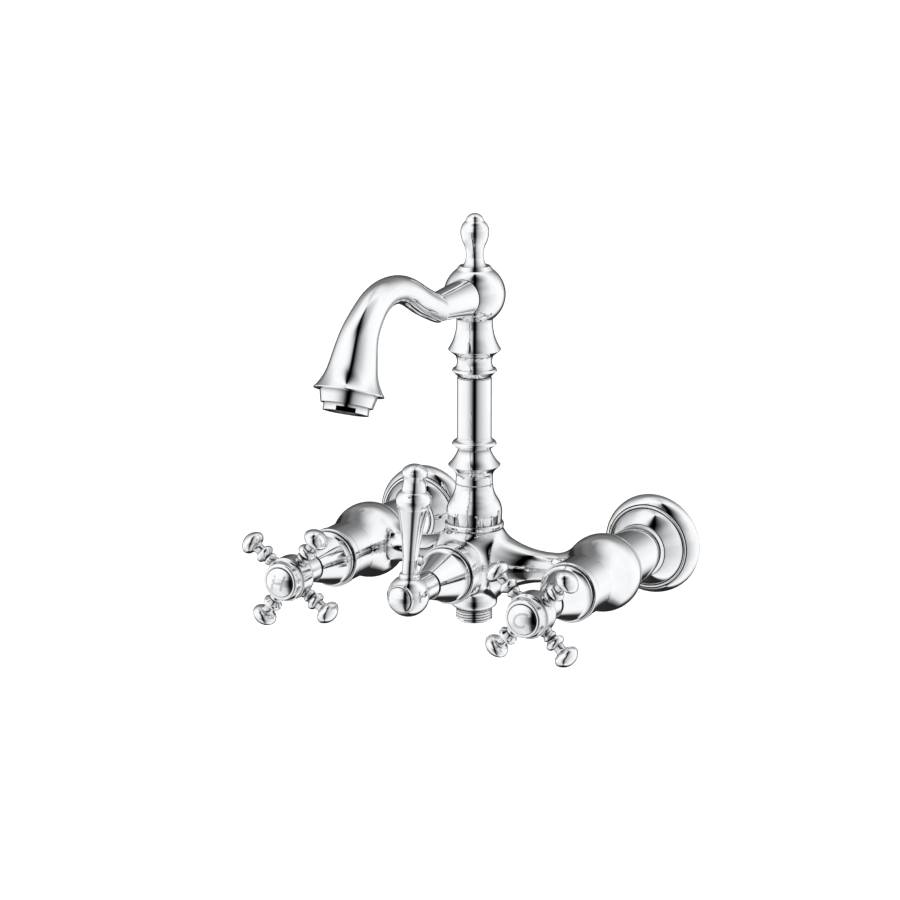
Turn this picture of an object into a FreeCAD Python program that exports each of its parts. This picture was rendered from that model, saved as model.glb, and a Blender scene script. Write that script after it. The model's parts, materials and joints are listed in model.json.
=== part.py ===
import FreeCAD, Part
import math
import os
from types import SimpleNamespace

import Sketcher

# Wall-mounted bath and shower mixer: two quarter-turn taps, a diverter lever, a swivel swan-neck spout.
# Frame: origin on the wall plane midway between the inlets, +X to the right, -Y out of the wall, +Z up.

lengths = {
    # Clearances shared by every fit
    "slide_clearance": 0.05,
    "running_clearance": 0.04,
    "face_gap": 0.1,
    "swing_gap": 0.5,
    "cut_overrun": 4.0,
    # Main places
    "inlet_spacing": 150.0,
    "ball_reach": 71.0,
    "column_past_ball": 12.0,
    "boss_past_ball": 40.5,
    "handle_past_boss": 49.9,
    # Elbows of the mixer body
    "ball_radius": 22.1,
    "neck_radius": 15.5,
    "neck_start": 2.0,
    "throat_radius": 13.4,
    "throat_past_ball": 26.0,
    "ball_blend": 2.0,
    "boss_radius": 16.6,
    "boss_rim": 2.4,
    # Arms of the mixer body
    "arm_root_radius": 18.6,
    "arm_waist_radius": 8.6,
    "arm_root_offset": 15.0,
    "arm_waist_offset": 50.0,
    "arm_blend": 4.0,
    # Centre barrel of the mixer body
    "barrel_radius": 16.6,
    "barrel_top": 20.0,
    "barrel_top_radius": 15.9,
    "barrel_belly": 8.0,
    "outlet_lip_radius": 13.3,
    "outlet_lip_low": 23.8,
    "outlet_lip_high": 20.6,
    "outlet_end": 26.7,
    "outlet_end_radius": 10.9,
    "front_boss_waist": 15.4,
    # Waterways of the mixer body
    "valve_pocket_radius": 11.0,
    "pocket_past_ball": 12.0,
    "plug_past_column": 11.5,
    "supply_radius": 7.0,
    "arm_water_radius": 5.5,
    "hose_water_radius": 6.5,
    # Inlet nipples, washers and wall flanges
    "thread_radius": 10.478,
    "nipple_wall_length": 16.0,
    "nipple_body_radius": 9.5,
    "nipple_end": 26.0,
    "nipple_collar_radius": 12.6,
    "nipple_bore": 6.6,
    "inlet_washer_thickness": 2.0,
    "inlet_washer_bore": 7.2,
    "flange_radius": 29.2,
    "flange_height": 19.8,
    "flange_wall": 2.2,
    "flange_grip": 6.6,
    # Hose outlet nipple
    "hose_thread_length": 8.0,
    "hose_spigot_radius": 8.8,
    "hose_spigot_length": 8.0,
    # Headworks
    "headwork_wall": 1.25,
    "headwork_flange_radius": 13.4,
    "headwork_flange_height": 4.0,
    "headwork_neck_radius": 6.8,
    "window_radius": 4.5,
    # Seals and discs
    "seat_seal_thickness": 2.5,
    "seat_seal_bore": 5.4,
    "disc_room": 0.6,
    "disc_thickness": 3.5,
    "disc_port_radius": 2.4,
    # Spindles and plug
    "spindle_radius": 4.0,
    "spindle_foot_height": 5.2,
    "spindle_tip_radius": 3.2,
    "spindle_shoulder_back": 15.9,
    "spindle_tip_past": 0.1,
    "ring_section": 0.8,
    "ring_inset": 10.0,
    "ring_pitch": 4.0,
    "plug_height": 22.0,
    "plug_wall": 2.4,
    "plug_window_radius": 4.6,
    # Bonnets
    "bonnet_ring_radius": 17.1,
    "bonnet_ring_height": 10.4,
    "bonnet_tip_radius": 8.4,
    "bonnet_lip": 3.6,
    "bonnet_wall": 2.0,
    # Cross handles
    "hub_radius": 12.4,
    "hub_back": 9.4,
    "hub_crown": 6.0,
    "hub_front": 8.6,
    "hub_cove": 3.2,
    "hub_edge": 0.4,
    "hub_tail": 21.8,
    "hub_neck_radius": 7.8,
    "hub_recess_radius": 5.2,
    "hub_recess_floor": 3.2,
    "cap_ring_radius": 10.6,
    "cap_ring_height": 2.6,
    "cap_radius": 8.1,
    "cap_height": 3.0,
    "cap_plug_length": 2.0,
    "arm_sink": 1.8,
    "arm_reach": 24.0,
    "arm_knob_radius": 7.1,
    "arm_peg_radius": 1.9,
    "arm_peg_length": 3.0,
    # Screws of the handles and the lever
    "screw_radius": 1.5,
    "screw_length": 9.0,
    "screw_head_radius": 4.4,
    "screw_head_height": 2.4,
    # Diverter lever
    "lever_ball_radius": 11.7,
    "lever_face_radius": 6.7,
    "lever_cap_radius": 7.2,
    "lever_cap_height": 3.9,
    "lever_sink": 3.3,
    "lever_reach": 66.2,
    "lever_bulb_radius": 9.8,
    "lever_peg_radius": 2.4,
    "lever_peg_length": 3.4,
    # Bell nut and swivel
    "bell_radius": 16.9,
    "bell_height": 25.6,
    "bell_top_radius": 10.7,
    "bell_cavity_radius": 11.4,
    "bell_shoulder": 9.4,
    "riser_radius": 7.95,
    "riser_bore": 5.4,
    "riser_drop": 7.4,
    "riser_flange_radius": 10.9,
    "riser_flange_height": 6.0,
    "riser_core_radius": 7.0,
    "riser_seat_depth": 2.1,
    "riser_past_ferrule": 3.6,
    "swivel_washer_thickness": 0.6,
    "swivel_ring_inset": 2.0,
    "swivel_ring_pitch": 3.2,
    # Column
    "ferrule_radius": 14.8,
    "lower_ferrule_height": 26.5,
    "tube_radius": 9.75,
    "tube_length": 33.8,
    "upper_ferrule_height": 31.8,
    "ball_neck_radius": 10.2,
    "spout_ball_radius": 17.3,
    "ball_neck_height": 1.8,
    "ball_cavity_radius": 9.4,
    "ball_collar_radius": 10.2,
    "ball_collar_height": 2.1,
    "ball_collar_top_radius": 8.7,
    "finial_radius": 8.0,
    "finial_height": 29.4,
    "finial_stud_radius": 4.0,
    "ball_top_wall": 0.5,
    # Spout
    "stub_radius": 10.4,
    "stub_socket_depth": 9.0,
    "stub_length": 46.0,
    "swan_radius": 7.8,
    "swan_reach": 91.0,
    "swan_rise": 17.3,
    "spout_wall": 1.9,
    "mouth_length": 13.2,
    "mouth_radius": 18.6,
    "mouth_rim": 1.0,
    "mouth_step_radius": 15.3,
    "mouth_step_end_radius": 13.8,
    "mouth_step_height": 6.2,
    "mouth_bore_depth": 12.0,
    # Aerator
    "aerator_radius": 12.1,
    "aerator_height": 3.9,
    "aerator_thread_radius": 11.2,
    "aerator_thread_length": 9.4,
    "aerator_bore": 9.6,
    "aerator_lip": 8.4,
    "aerator_lip_height": 1.6,
    "aerator_collar": 1.6,
    "aerator_flats": 21.9,
    "aerator_insert_height": 5.0,
    "aerator_jet_radius": 0.9,
    "aerator_jet_circle": 5.2,
    "aerator_washer_thickness": 2.0,
    "aerator_washer_bore": 8.4,
}

# Turns in degrees: how the handles stand, the lean of the outlet and of the aerator's spanner flats
turns = {
    "hot_handle_turn": 9.7,
    "cold_handle_turn": 0.0,
    "lever_turn": 3.6,
    "arm_spread": 45.0,
    "outlet_lean": 160.0,
    "flat_turn": -28.0,
    "window_spread": 45.0,
}

arm_count = 4
jet_count = 8
sketch_axes = {"V": "V_Axis", "H": "H_Axis"}

document = FreeCAD.newDocument("ShowerMixer")
sheet = document.addObject("Spreadsheet::Sheet", "Sizes")
for row, (name, number) in enumerate({**lengths, **turns}.items(), start=1):
    sheet.set(f"A{row}", name)
    sheet.set(f"B{row}", str(number))
    sheet.setAlias(f"B{row}", name)
document.recompute()


class Size:
    # A size that carries its number together with the expression that binds it to the sheet

    def __init__(self, number, text):
        self.number = float(number)
        self.text = text

    def joined(self, other, sign, number, flip=False):
        pair = (as_text(other), self.text) if flip else (self.text, as_text(other))
        return Size(number, f"({pair[0]} {sign} {pair[1]})")

    def __add__(self, other):
        return self.joined(other, "+", self.number + float(other))

    __radd__ = __add__

    def __sub__(self, other):
        return self.joined(other, "-", self.number - float(other))

    def __rsub__(self, other):
        return self.joined(other, "-", float(other) - self.number, flip=True)

    def __mul__(self, other):
        return self.joined(other, "*", self.number * float(other))

    __rmul__ = __mul__

    def __truediv__(self, other):
        return self.joined(other, "/", self.number / float(other))

    def __neg__(self):
        return self * -1

    def __float__(self):
        return self.number


class Turn:
    # A turn that carries its rotation together with the expression that binds it to the sheet

    def __init__(self, rotation, text):
        self.rotation = rotation
        self.text = text

    def __mul__(self, other):
        return Turn(self.rotation.multiply(other.rotation), f"{self.text} * {other.text}")


mm = SimpleNamespace(**{name: Size(number, f"Sizes.{name}") for name, number in lengths.items()})
degrees = SimpleNamespace(**{name: Size(number, f"Sizes.{name}") for name, number in turns.items()})
axes = {"x": (1, 0, 0), "y": (0, 1, 0), "z": (0, 0, 1)}
parts = []


def size_root(size):
    return Size(math.sqrt(size.number), f"sqrt({size.text})")


def slope(rise, run):
    angle = math.degrees(math.atan2(float(rise), float(run)))
    return Size(angle, f"atan2({rise.text}; {run.text})")


def as_text(size):
    return size.text if isinstance(size, Size) else repr(float(size))


def bind(item, name, size):
    setattr(item, name, float(size))
    item.setExpression(name, as_text(size))


def vector(x, y, z):
    return FreeCAD.Vector(float(x), float(y), float(z))


def turned_about(letter, angle):
    rotation = FreeCAD.Rotation(vector(*axes[letter]), float(angle))
    return Turn(rotation, f"rotation{letter}({as_text(angle)})")


upright = turned_about("z", 0)
outward = turned_about("x", 90)
to_outlet = turned_about("x", degrees.outlet_lean)


# An item stands at a place, turned, and may be shifted from there along its own axes
def place(item, where, turn, shift=(0, 0, 0)):
    stand = FreeCAD.Placement(vector(*where), turn.rotation)
    item.Placement = stand.multiply(FreeCAD.Placement(vector(*shift), upright.rotation))
    spots = [f"vector({'; '.join(as_text(size) for size in sizes)})" for sizes in (where, shift)]
    text = f"placement({spots[0]}; {turn.text}) * placement({spots[1]}; {upright.text})"
    item.setExpression("Placement", text)


def keep(item, label):
    item.Label = label
    parts.append(item)
    return item


def origin_feature(body, role):
    return next(feature for feature in body.Origin.OriginFeatures if feature.Role == role)


# Outlines are lists of (radius, along the axis, edge to the next point), solid to the left of the way round.
# An edge is a line, an arc that leaves or arrives along the axis, an ogee of both, an arc that spreads or
# closes square to the axis, or an arc given by its bulge as a share of half its chord, hollow if negative.


def split_ogees(outline):
    points = []
    for index, (radius, along, edge) in enumerate(outline):
        if edge != "ogee":
            points.append((radius, along, edge))
            continue
        next_radius, next_along, _ = outline[(index + 1) % len(outline)]
        middle = ((radius + next_radius) / 2, (along + next_along) / 2)
        points.append((radius, along, "leave"))
        points.append((*middle, "arrive"))
    return points


def bulged(start, end, rise_share):
    across = float(end[0]) - float(start[0])
    along = float(end[1]) - float(start[1])
    return (
        float(start[0]) + across / 2 + along * rise_share,
        float(start[1]) + along / 2 - across * rise_share,
    )


def arc_between(start, end, edge):
    across = end[0] - start[0]
    along = end[1] - start[1]
    square = across * across + along * along
    chord = math.sqrt(float(square))
    if not isinstance(edge, str):
        radius = size_root(square) * ((1 + edge**2) / abs(edge * 4))
        return radius, bulged(start, end, edge / 2), edge > 0
    tangent_along = edge in ("leave", "arrive")
    side = across if tangent_along else along
    if float(side) < 0:
        side = -side
    radius = square / (side * 2)
    rise = float(radius) - math.sqrt(max(float(radius) ** 2 - chord**2 / 4, 0))
    tangent = (0, math.copysign(1, float(along))) if tangent_along else (math.copysign(1, float(across)), 0)
    bend = tangent[0] * float(along) - tangent[1] * float(across)
    swell = math.copysign(1, bend if edge in ("leave", "spread") else -bend)
    return radius, bulged(start, end, swell * rise / chord), swell > 0


def draw(body, name, outline, axis):
    sketch = body.newObject("Sketcher::SketchObject", name)
    sketch.AttachmentSupport = (origin_feature(body, "XZ_Plane"), [""])
    sketch.MapMode = "FlatFace"
    points = split_ogees(outline)
    upward = axis == "V"

    def spot(radius, along):
        return vector(radius, along, 0) if upward else vector(along, radius, 0)

    edges = []
    rules = []
    texts = []
    ends = []
    for index, (radius, along, edge) in enumerate(points):
        following = points[(index + 1) % len(points)]
        start, end = spot(radius, along), spot(*following[:2])
        if edge == "line":
            edges.append(Part.LineSegment(start, end))
            ends.append((1, 2))
            continue
        arc_radius, middle, convex = arc_between((radius, along), following, edge)
        edges.append(Part.Arc(start, spot(*middle), end))
        ends.append((1, 2) if convex == upward else (2, 1))
        rules.append(Sketcher.Constraint("Radius", index, float(arc_radius)))
        texts.append(arc_radius)
    for index, (radius, along, _) in enumerate(points):
        before = (index - 1) % len(points)
        corner = ends[index][0]
        rules.append(Sketcher.Constraint("Coincident", before, ends[before][1], index, corner))
        texts.append(None)
        across, up = ("DistanceX", "DistanceY") if upward else ("DistanceY", "DistanceX")
        across_axis, up_axis = (-2, -1) if upward else (-1, -2)
        for size, kind, line in ((radius, across, across_axis), (along, up, up_axis)):
            if isinstance(size, Size):
                rules.append(Sketcher.Constraint(kind, -1, 1, index, corner, float(size)))
            else:
                rules.append(Sketcher.Constraint("PointOnObject", index, corner, line))
            texts.append(size if isinstance(size, Size) else None)
    sketch.addGeometry(edges, False)
    sketch.addConstraint(rules)
    for index, text in enumerate(texts):
        if text is not None:
            sketch.setExpression(f"Constraints[{index}]", text.text)
    return sketch


def revolve(body, kind, name, outline, axis="V"):
    sketch = draw(body, f"{name}_outline", outline, axis)
    feature = body.newObject(f"PartDesign::{kind}", f"{name}_turn")
    feature.Profile = sketch
    feature.ReferenceAxis = (sketch, [sketch_axes[axis]])
    feature.Angle = 360
    return feature


def new_body(name, where, turn):
    body = document.addObject("PartDesign::Body", name)
    place(body, where, turn)
    return body


def turned(name, outline, where, turn=upright):
    body = new_body(name, where, turn)
    revolve(body, "Revolution", name, outline)
    return body


def around(body, feature, count):
    pattern = body.newObject("PartDesign::PolarPattern", f"{body.Name}_around")
    pattern.Originals = [feature]
    pattern.Axis = (origin_feature(body, "Z_Axis"), [""])
    pattern.Angle = 360
    pattern.Occurrences = count
    body.Tip = pattern


def rod(name, radius, length, where, turn=upright, shift=(0, 0, 0)):
    cylinder = document.addObject("Part::Cylinder", name)
    bind(cylinder, "Radius", radius)
    bind(cylinder, "Height", length)
    place(cylinder, where, turn, shift)
    return cylinder


def fused(name, pieces):
    union = document.addObject("Part::MultiFuse", name)
    union.Shapes = pieces
    return union


def cut(name, base, tools):
    result = document.addObject("Part::Cut", name)
    result.Base = base
    result.Tool = tools[0] if len(tools) == 1 else fused(f"{name}_tools", tools)
    return result


def ring_pair(label, radius, first, pitch, where, turn):
    rings = []
    for index in range(2):
        ring = document.addObject("Part::Torus", f"{label}_{index}")
        bind(ring, "Radius1", radius)
        bind(ring, "Radius2", mm.ring_section)
        place(ring, where, turn, (0, 0, first + pitch * index))
        rings.append(ring)
    pair = document.addObject("Part::Compound", label)
    pair.Links = rings
    return keep(pair, label)


def shaped(shares, radius, low, height):
    return [(radius * across, low + height * up, edge) for across, up, edge in shares]


def leg(hypotenuse, side):
    return size_root(hypotenuse * hypotenuse - side * side)


def tube_outline(bore, radius, low, high):
    return [(bore, low, "line"), (radius, low, "line"), (radius, high, "line"), (bore, high, "line")]


# Places of the valves, column and inlets
half_spacing = mm.inlet_spacing / 2
sides = {"hot": -half_spacing, "cold": half_spacing}
column_reach = mm.ball_reach + mm.column_past_ball
boss_reach = mm.ball_reach + mm.boss_past_ball
handle_reach = boss_reach + mm.handle_past_boss
column_foot = (0, -column_reach, 0)
diverter_face = (0, -boss_reach, 0)
pocket_radius = mm.valve_pocket_radius
fitted_radius = pocket_radius - mm.slide_clearance
pocket_depth = mm.boss_past_ball + mm.pocket_past_ball
plug_pocket_depth = boss_reach - column_reach + mm.plug_past_column
washer_seat = mm.nipple_end + mm.inlet_washer_thickness
bonnet_height = mm.handle_past_boss - mm.hub_tail - mm.swing_gap
headwork_neck_end = bonnet_height - mm.bonnet_lip


# Blend between a ball and a stem of the same axis: where it leaves the stem and where it meets the ball
def blend_points(ball_radius, stem_radius, blend):
    middle = leg(ball_radius + blend, stem_radius + blend)
    nearer = ball_radius / (ball_radius + blend)
    return middle, (stem_radius + blend) * nearer, middle * nearer


# Mixer body: elbows with their inlet necks and valve bosses, trumpet arms, centre barrel, front boss
def elbow(side):
    back_stem, back_radius, back_ball = blend_points(mm.ball_radius, mm.neck_radius, mm.ball_blend)
    front_stem, front_radius, front_ball = blend_points(mm.ball_radius, mm.throat_radius, mm.ball_blend)
    outline = [
        (0, mm.neck_start, "line"),
        (mm.neck_radius, mm.neck_start, "line"),
        (mm.neck_radius, mm.ball_reach - back_stem, "leave"),
        (back_radius, mm.ball_reach - back_ball, "arrive"),
        (mm.ball_radius, mm.ball_reach, "leave"),
        (front_radius, mm.ball_reach + front_ball, "arrive"),
        (mm.throat_radius, mm.ball_reach + front_stem, "line"),
        (mm.throat_radius, mm.ball_reach + mm.throat_past_ball, "leave"),
        (mm.boss_radius, boss_reach - mm.boss_rim, "line"),
        (mm.boss_radius, boss_reach, "line"),
        (0, boss_reach, "line"),
    ]
    return turned(f"{side}_elbow", outline, (sides[side], 0, 0), outward)


def arm_turn(side):
    sweep = slope(mm.column_past_ball, sides[side])
    return turned_about("z", sweep) * turned_about("y", 90)


def arm(side):
    length = size_root(half_spacing * half_spacing + mm.column_past_ball * mm.column_past_ball)
    stem_end, touch_radius, touch = blend_points(mm.ball_radius, mm.arm_waist_radius, mm.arm_blend)
    outline = [
        (0, 0, "line"),
        (mm.arm_root_radius, 0, "line"),
        (mm.arm_root_radius, mm.arm_root_offset, "arrive"),
        (mm.arm_waist_radius, mm.arm_waist_offset, "line"),
        (mm.arm_waist_radius, length - stem_end, "leave"),
        (touch_radius, length - touch, "line"),
        (touch_radius, length, "line"),
        (0, length, "line"),
    ]
    return turned(f"{side}_arm", outline, column_foot, arm_turn(side))


def barrel():
    outline = [
        (0, -mm.outlet_end, "line"),
        (mm.outlet_end_radius, -mm.outlet_end, "arrive"),
        (mm.outlet_lip_radius, -mm.outlet_lip_low, "line"),
        (mm.outlet_lip_radius, -mm.outlet_lip_high, "line"),
        (mm.barrel_radius, -mm.barrel_belly, "line"),
        (mm.barrel_radius, mm.barrel_belly, "leave"),
        (mm.barrel_top_radius, mm.barrel_top, "line"),
        (0, mm.barrel_top, "line"),
    ]
    return turned("barrel", outline, column_foot)


def front_boss():
    outline = [
        (0, column_reach, "line"),
        (mm.front_boss_waist, column_reach, "line"),
        (mm.front_boss_waist, column_reach + mm.barrel_radius, "leave"),
        (mm.boss_radius, boss_reach - mm.boss_rim, "line"),
        (mm.boss_radius, boss_reach, "line"),
        (0, boss_reach, "line"),
    ]
    return turned("front_boss", outline, (0, 0, 0), outward)


def tap_waterway(side):
    pocket_floor = boss_reach - pocket_depth
    outline = [
        (0, mm.neck_start - mm.cut_overrun, "line"),
        (mm.nipple_body_radius + mm.slide_clearance, mm.neck_start - mm.cut_overrun, "line"),
        (mm.nipple_body_radius + mm.slide_clearance, washer_seat, "line"),
        (mm.supply_radius, washer_seat, "line"),
        (mm.supply_radius, pocket_floor, "line"),
        (pocket_radius, pocket_floor, "line"),
        (pocket_radius, boss_reach + mm.cut_overrun, "line"),
        (0, boss_reach + mm.cut_overrun, "line"),
    ]
    return turned(f"{side}_waterway", outline, (sides[side], 0, 0), outward)


def mixer_body():
    solids = [barrel(), front_boss()]
    socket_radius = mm.riser_radius + mm.running_clearance
    spigot_radius = mm.hose_spigot_radius + mm.slide_clearance
    spigot_floor = -mm.outlet_end + mm.hose_spigot_length
    waterways = [
        rod("riser_socket", socket_radius, mm.barrel_top + mm.cut_overrun, column_foot),
        rod("hose_way", mm.hose_water_radius, mm.outlet_end, (0, -column_reach, -mm.outlet_end)),
        rod(
            "hose_socket",
            spigot_radius,
            mm.hose_spigot_length + mm.cut_overrun,
            (0, -column_reach, spigot_floor - mm.hose_spigot_length - mm.cut_overrun),
        ),
        rod(
            "plug_pocket",
            pocket_radius,
            plug_pocket_depth + mm.cut_overrun,
            (0, plug_pocket_depth - boss_reach, 0),
            outward,
        ),
    ]
    for side in sides:
        solids.append(elbow(side))
        solids.append(arm(side))
        waterways.append(tap_waterway(side))
        arm_way = rod(f"{side}_arm_way", mm.arm_water_radius, half_spacing, column_foot, arm_turn(side))
        waterways.append(arm_way)
    return keep(cut("mixer_body", fused("casting", solids), waterways), "mixer_body")


# Wall side: flange, threaded inlet nipple and its washer
flange_shares = [
    (0.985, 0.0, "arrive"),
    (1.0, 0.13, "line"),
    (1.0, 0.23, "leave"),
    (0.897, 0.434, "line"),
    (0.856, 0.444, "line"),
    (0.842, 0.515, "leave"),
    (0.808, 0.55, "line"),
    (0.767, 0.535, "line"),
    (0.733, 0.783, "leave"),
    (0.623, 0.975, "line"),
]


def wall_side(side):
    inlet = (sides[side], 0, 0)
    bore = mm.neck_radius + mm.slide_clearance
    skirt = mm.flange_radius - mm.flange_wall
    under = mm.flange_height - mm.flange_grip
    flange = shaped(flange_shares, mm.flange_radius, 0, mm.flange_height)
    flange += [
        (bore, mm.flange_height, "line"),
        (bore, under, "line"),
        (bore + mm.flange_wall, under, "line"),
        (skirt, mm.flange_wall, "line"),
        (skirt, 0, "line"),
    ]
    keep(turned(f"{side}_flange", flange, inlet, outward), f"{side}_wall_flange")
    nipple = [
        (mm.nipple_bore, -mm.nipple_wall_length, "line"),
        (mm.thread_radius, -mm.nipple_wall_length, "line"),
        (mm.thread_radius, 0, "line"),
        (mm.nipple_collar_radius, 0, "line"),
        (mm.nipple_collar_radius, mm.neck_start, "line"),
        (mm.nipple_body_radius, mm.neck_start, "line"),
        (mm.nipple_body_radius, mm.nipple_end, "line"),
        (mm.nipple_bore, mm.nipple_end, "line"),
    ]
    keep(turned(f"{side}_nipple", nipple, inlet, outward), f"{side}_inlet_nipple")
    washer = tube_outline(mm.inlet_washer_bore, mm.nipple_body_radius, mm.nipple_end, washer_seat)
    keep(turned(f"{side}_washer", washer, inlet, outward), f"{side}_inlet_washer")


def hose_nipple():
    low = -mm.outlet_end - mm.hose_thread_length
    outline = [
        (mm.hose_water_radius, low, "line"),
        (mm.thread_radius, low, "line"),
        (mm.thread_radius, -mm.outlet_end, "line"),
        (mm.hose_spigot_radius, -mm.outlet_end, "line"),
        (mm.hose_spigot_radius, -mm.outlet_end + mm.hose_spigot_length, "line"),
        (mm.hose_water_radius, -mm.outlet_end + mm.hose_spigot_length, "line"),
    ]
    keep(turned("nipple_of_hose", outline, column_foot), "hose_nipple")


# Valve stacks, measured outward from the boss face
spindle_shoulder = mm.handle_past_boss - mm.spindle_shoulder_back
spindle_tip = mm.handle_past_boss + mm.spindle_tip_past
ring_first = headwork_neck_end - mm.ring_inset
chamber_radius = fitted_radius - mm.headwork_wall
disc_radius = chamber_radius - mm.disc_room
disc_port_share = 0.53
port_offset = disc_radius * disc_port_share
seal_floor = -pocket_depth
fixed_disc_floor = seal_floor + mm.seat_seal_thickness
moving_disc_floor = fixed_disc_floor + mm.disc_thickness + mm.running_clearance
foot_floor = moving_disc_floor + mm.disc_thickness
foot_top = foot_floor + mm.spindle_foot_height
chamber_top = foot_top + mm.face_gap
stem_bore = mm.spindle_radius + mm.running_clearance
ring_floor = mm.spindle_radius - mm.ring_section * 2
ring_radius = mm.spindle_radius - mm.ring_section
ring_slot = mm.ring_section * 2 + mm.face_gap


def stem(outline_foot):
    slots = []
    for index in range(2):
        middle = ring_first + mm.ring_pitch * index
        slots += [
            (mm.spindle_radius, middle - ring_slot / 2, "line"),
            (ring_floor, middle - ring_slot / 2, "line"),
            (ring_floor, middle + ring_slot / 2, "line"),
            (mm.spindle_radius, middle + ring_slot / 2, "line"),
        ]
    hole = mm.screw_radius + mm.slide_clearance
    hole_floor = spindle_tip - mm.screw_length
    return [
        *outline_foot,
        *slots,
        (mm.spindle_radius, spindle_shoulder, "line"),
        (mm.spindle_tip_radius, spindle_shoulder, "line"),
        (mm.spindle_tip_radius, spindle_tip, "line"),
        (hole, spindle_tip, "line"),
        (hole, hole_floor, "line"),
        (0, hole_floor, "line"),
    ]


def headwork_top():
    return [
        (fitted_radius, 0, "line"),
        (mm.headwork_flange_radius, 0, "line"),
        (mm.headwork_flange_radius, mm.headwork_flange_height, "line"),
        (mm.headwork_neck_radius, mm.headwork_flange_height, "line"),
        (mm.headwork_neck_radius, headwork_neck_end, "line"),
        (stem_bore, headwork_neck_end, "line"),
    ]


def disc(label, floor, face):
    blank = turned(f"{label}_blank", [
        (0, floor, "line"),
        (disc_radius, floor, "line"),
        (disc_radius, floor + mm.disc_thickness, "line"),
        (0, floor + mm.disc_thickness, "line"),
    ], face, outward)
    ports = []
    for index, offset in enumerate((port_offset, -port_offset)):
        spot = (face[0], face[1] - floor + mm.cut_overrun, offset)
        length = mm.disc_thickness + mm.cut_overrun * 2
        ports.append(rod(f"{label}_port_{index}", mm.disc_port_radius, length, spot, outward))
    keep(cut(f"{label}_cut", blank, ports), label)


def tap_valve(side):
    face = (sides[side], -boss_reach, 0)
    body = turned(f"{side}_headwork_blank", [
        (chamber_radius, seal_floor, "line"),
        (fitted_radius, seal_floor, "line"),
        *headwork_top(),
        (stem_bore, chamber_top, "line"),
        (chamber_radius, chamber_top, "line"),
    ], face, outward)
    across = turned_about("y", 90)
    window = rod(
        f"{side}_window",
        mm.window_radius,
        pocket_radius * 2,
        (sides[side] - pocket_radius, -mm.ball_reach, 0),
        across,
    )
    keep(cut(f"{side}_headwork_cut", body, [window]), f"{side}_headwork")
    seal = tube_outline(mm.seat_seal_bore, disc_radius, seal_floor, fixed_disc_floor)
    keep(turned(f"{side}_seal", seal, face, outward), f"{side}_seat_seal")
    disc(f"{side}_fixed_disc", fixed_disc_floor, face)
    disc(f"{side}_moving_disc", moving_disc_floor, face)
    spindle = stem([
        (0, foot_floor, "line"),
        (disc_radius, foot_floor, "line"),
        (disc_radius, foot_top, "line"),
        (mm.spindle_radius, foot_top, "line"),
    ])
    keep(turned(f"{side}_stem", spindle, face, outward), f"{side}_spindle")
    ring_pair(f"{side}_spindle_rings", ring_radius, ring_first, mm.ring_pitch, face, outward)


def diverter_valve():
    plug_floor = -plug_pocket_depth + mm.face_gap
    plug_top = plug_floor + mm.plug_height
    plug_radius = pocket_radius - mm.running_clearance
    cup_radius = plug_radius - mm.plug_wall
    sleeve = turned("diverter_sleeve", [
        (stem_bore, plug_top + mm.face_gap, "line"),
        (fitted_radius, plug_top + mm.face_gap, "line"),
        *headwork_top(),
    ], diverter_face, outward)
    keep(sleeve, "diverter_headwork")
    plug = turned("plug_blank", stem([
        (0, plug_top - mm.plug_wall, "line"),
        (cup_radius, plug_top - mm.plug_wall, "line"),
        (cup_radius, plug_floor, "line"),
        (plug_radius, plug_floor, "line"),
        (plug_radius, plug_top, "line"),
        (mm.spindle_radius, plug_top, "line"),
    ]), diverter_face, outward)
    middle = (0, -column_reach, 0)
    windows = []
    for index, angle in enumerate((degrees.window_spread, -degrees.window_spread, 180)):
        turn = turned_about("y", 90 - angle)
        windows.append(rod(f"plug_window_{index}", mm.plug_window_radius, pocket_radius * 2, middle, turn))
    keep(cut("plug_cut", plug, windows), "diverter_plug")
    ring_pair("diverter_spindle_rings", ring_radius, ring_first, mm.ring_pitch, diverter_face, outward)


bonnet_shares = [
    (0.947, 0.0, "line"),
    (0.947, 0.04, "line"),
    (1.0, 0.1, "line"),
    (1.0, 0.42, "leave"),
    (0.96, 0.51, "line"),
    (0.89, 0.52, "line"),
    (0.89, 0.585, "line"),
    (0.918, 0.615, "line"),
    (0.918, 0.73, -0.2),
    (0.8, 1.0, "line"),
]


def bonnet(label, x):
    tip_bore = mm.headwork_neck_radius + mm.slide_clearance
    inner = mm.headwork_flange_radius + mm.slide_clearance
    outline = [
        (inner, 0, "line"),
        *shaped(bonnet_shares, mm.bonnet_ring_radius, 0, mm.bonnet_ring_height),
        (mm.bonnet_tip_radius, bonnet_height, "line"),
        (tip_bore, bonnet_height, "line"),
        (tip_bore, headwork_neck_end, "line"),
        (inner - mm.bonnet_wall, mm.bonnet_ring_height, "line"),
        (inner, mm.headwork_flange_height, "line"),
    ]
    keep(turned(f"{label}_shell", outline, (x, -boss_reach, 0), outward), f"{label}_bonnet")


# Cross handles, measured outward from the plane of their arms
arm_shares = [
    (0.52, 0.0, "line"),
    (0.52, 0.09, "line"),
    (0.42, 0.12, "line"),
    (0.56, 0.2, "leave"),
    (0.4, 0.26, "line"),
    (0.75, 0.35, "arrive"),
    (0.76, 0.39, "leave"),
    (0.42, 0.48, "line"),
    (0.42, 0.56, "line"),
    (0.6, 0.66, "line"),
    (0.98, 0.77, "arrive"),
    (1.0, 0.8, "close"),
]
arm_seat = mm.hub_radius - mm.arm_sink


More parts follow.
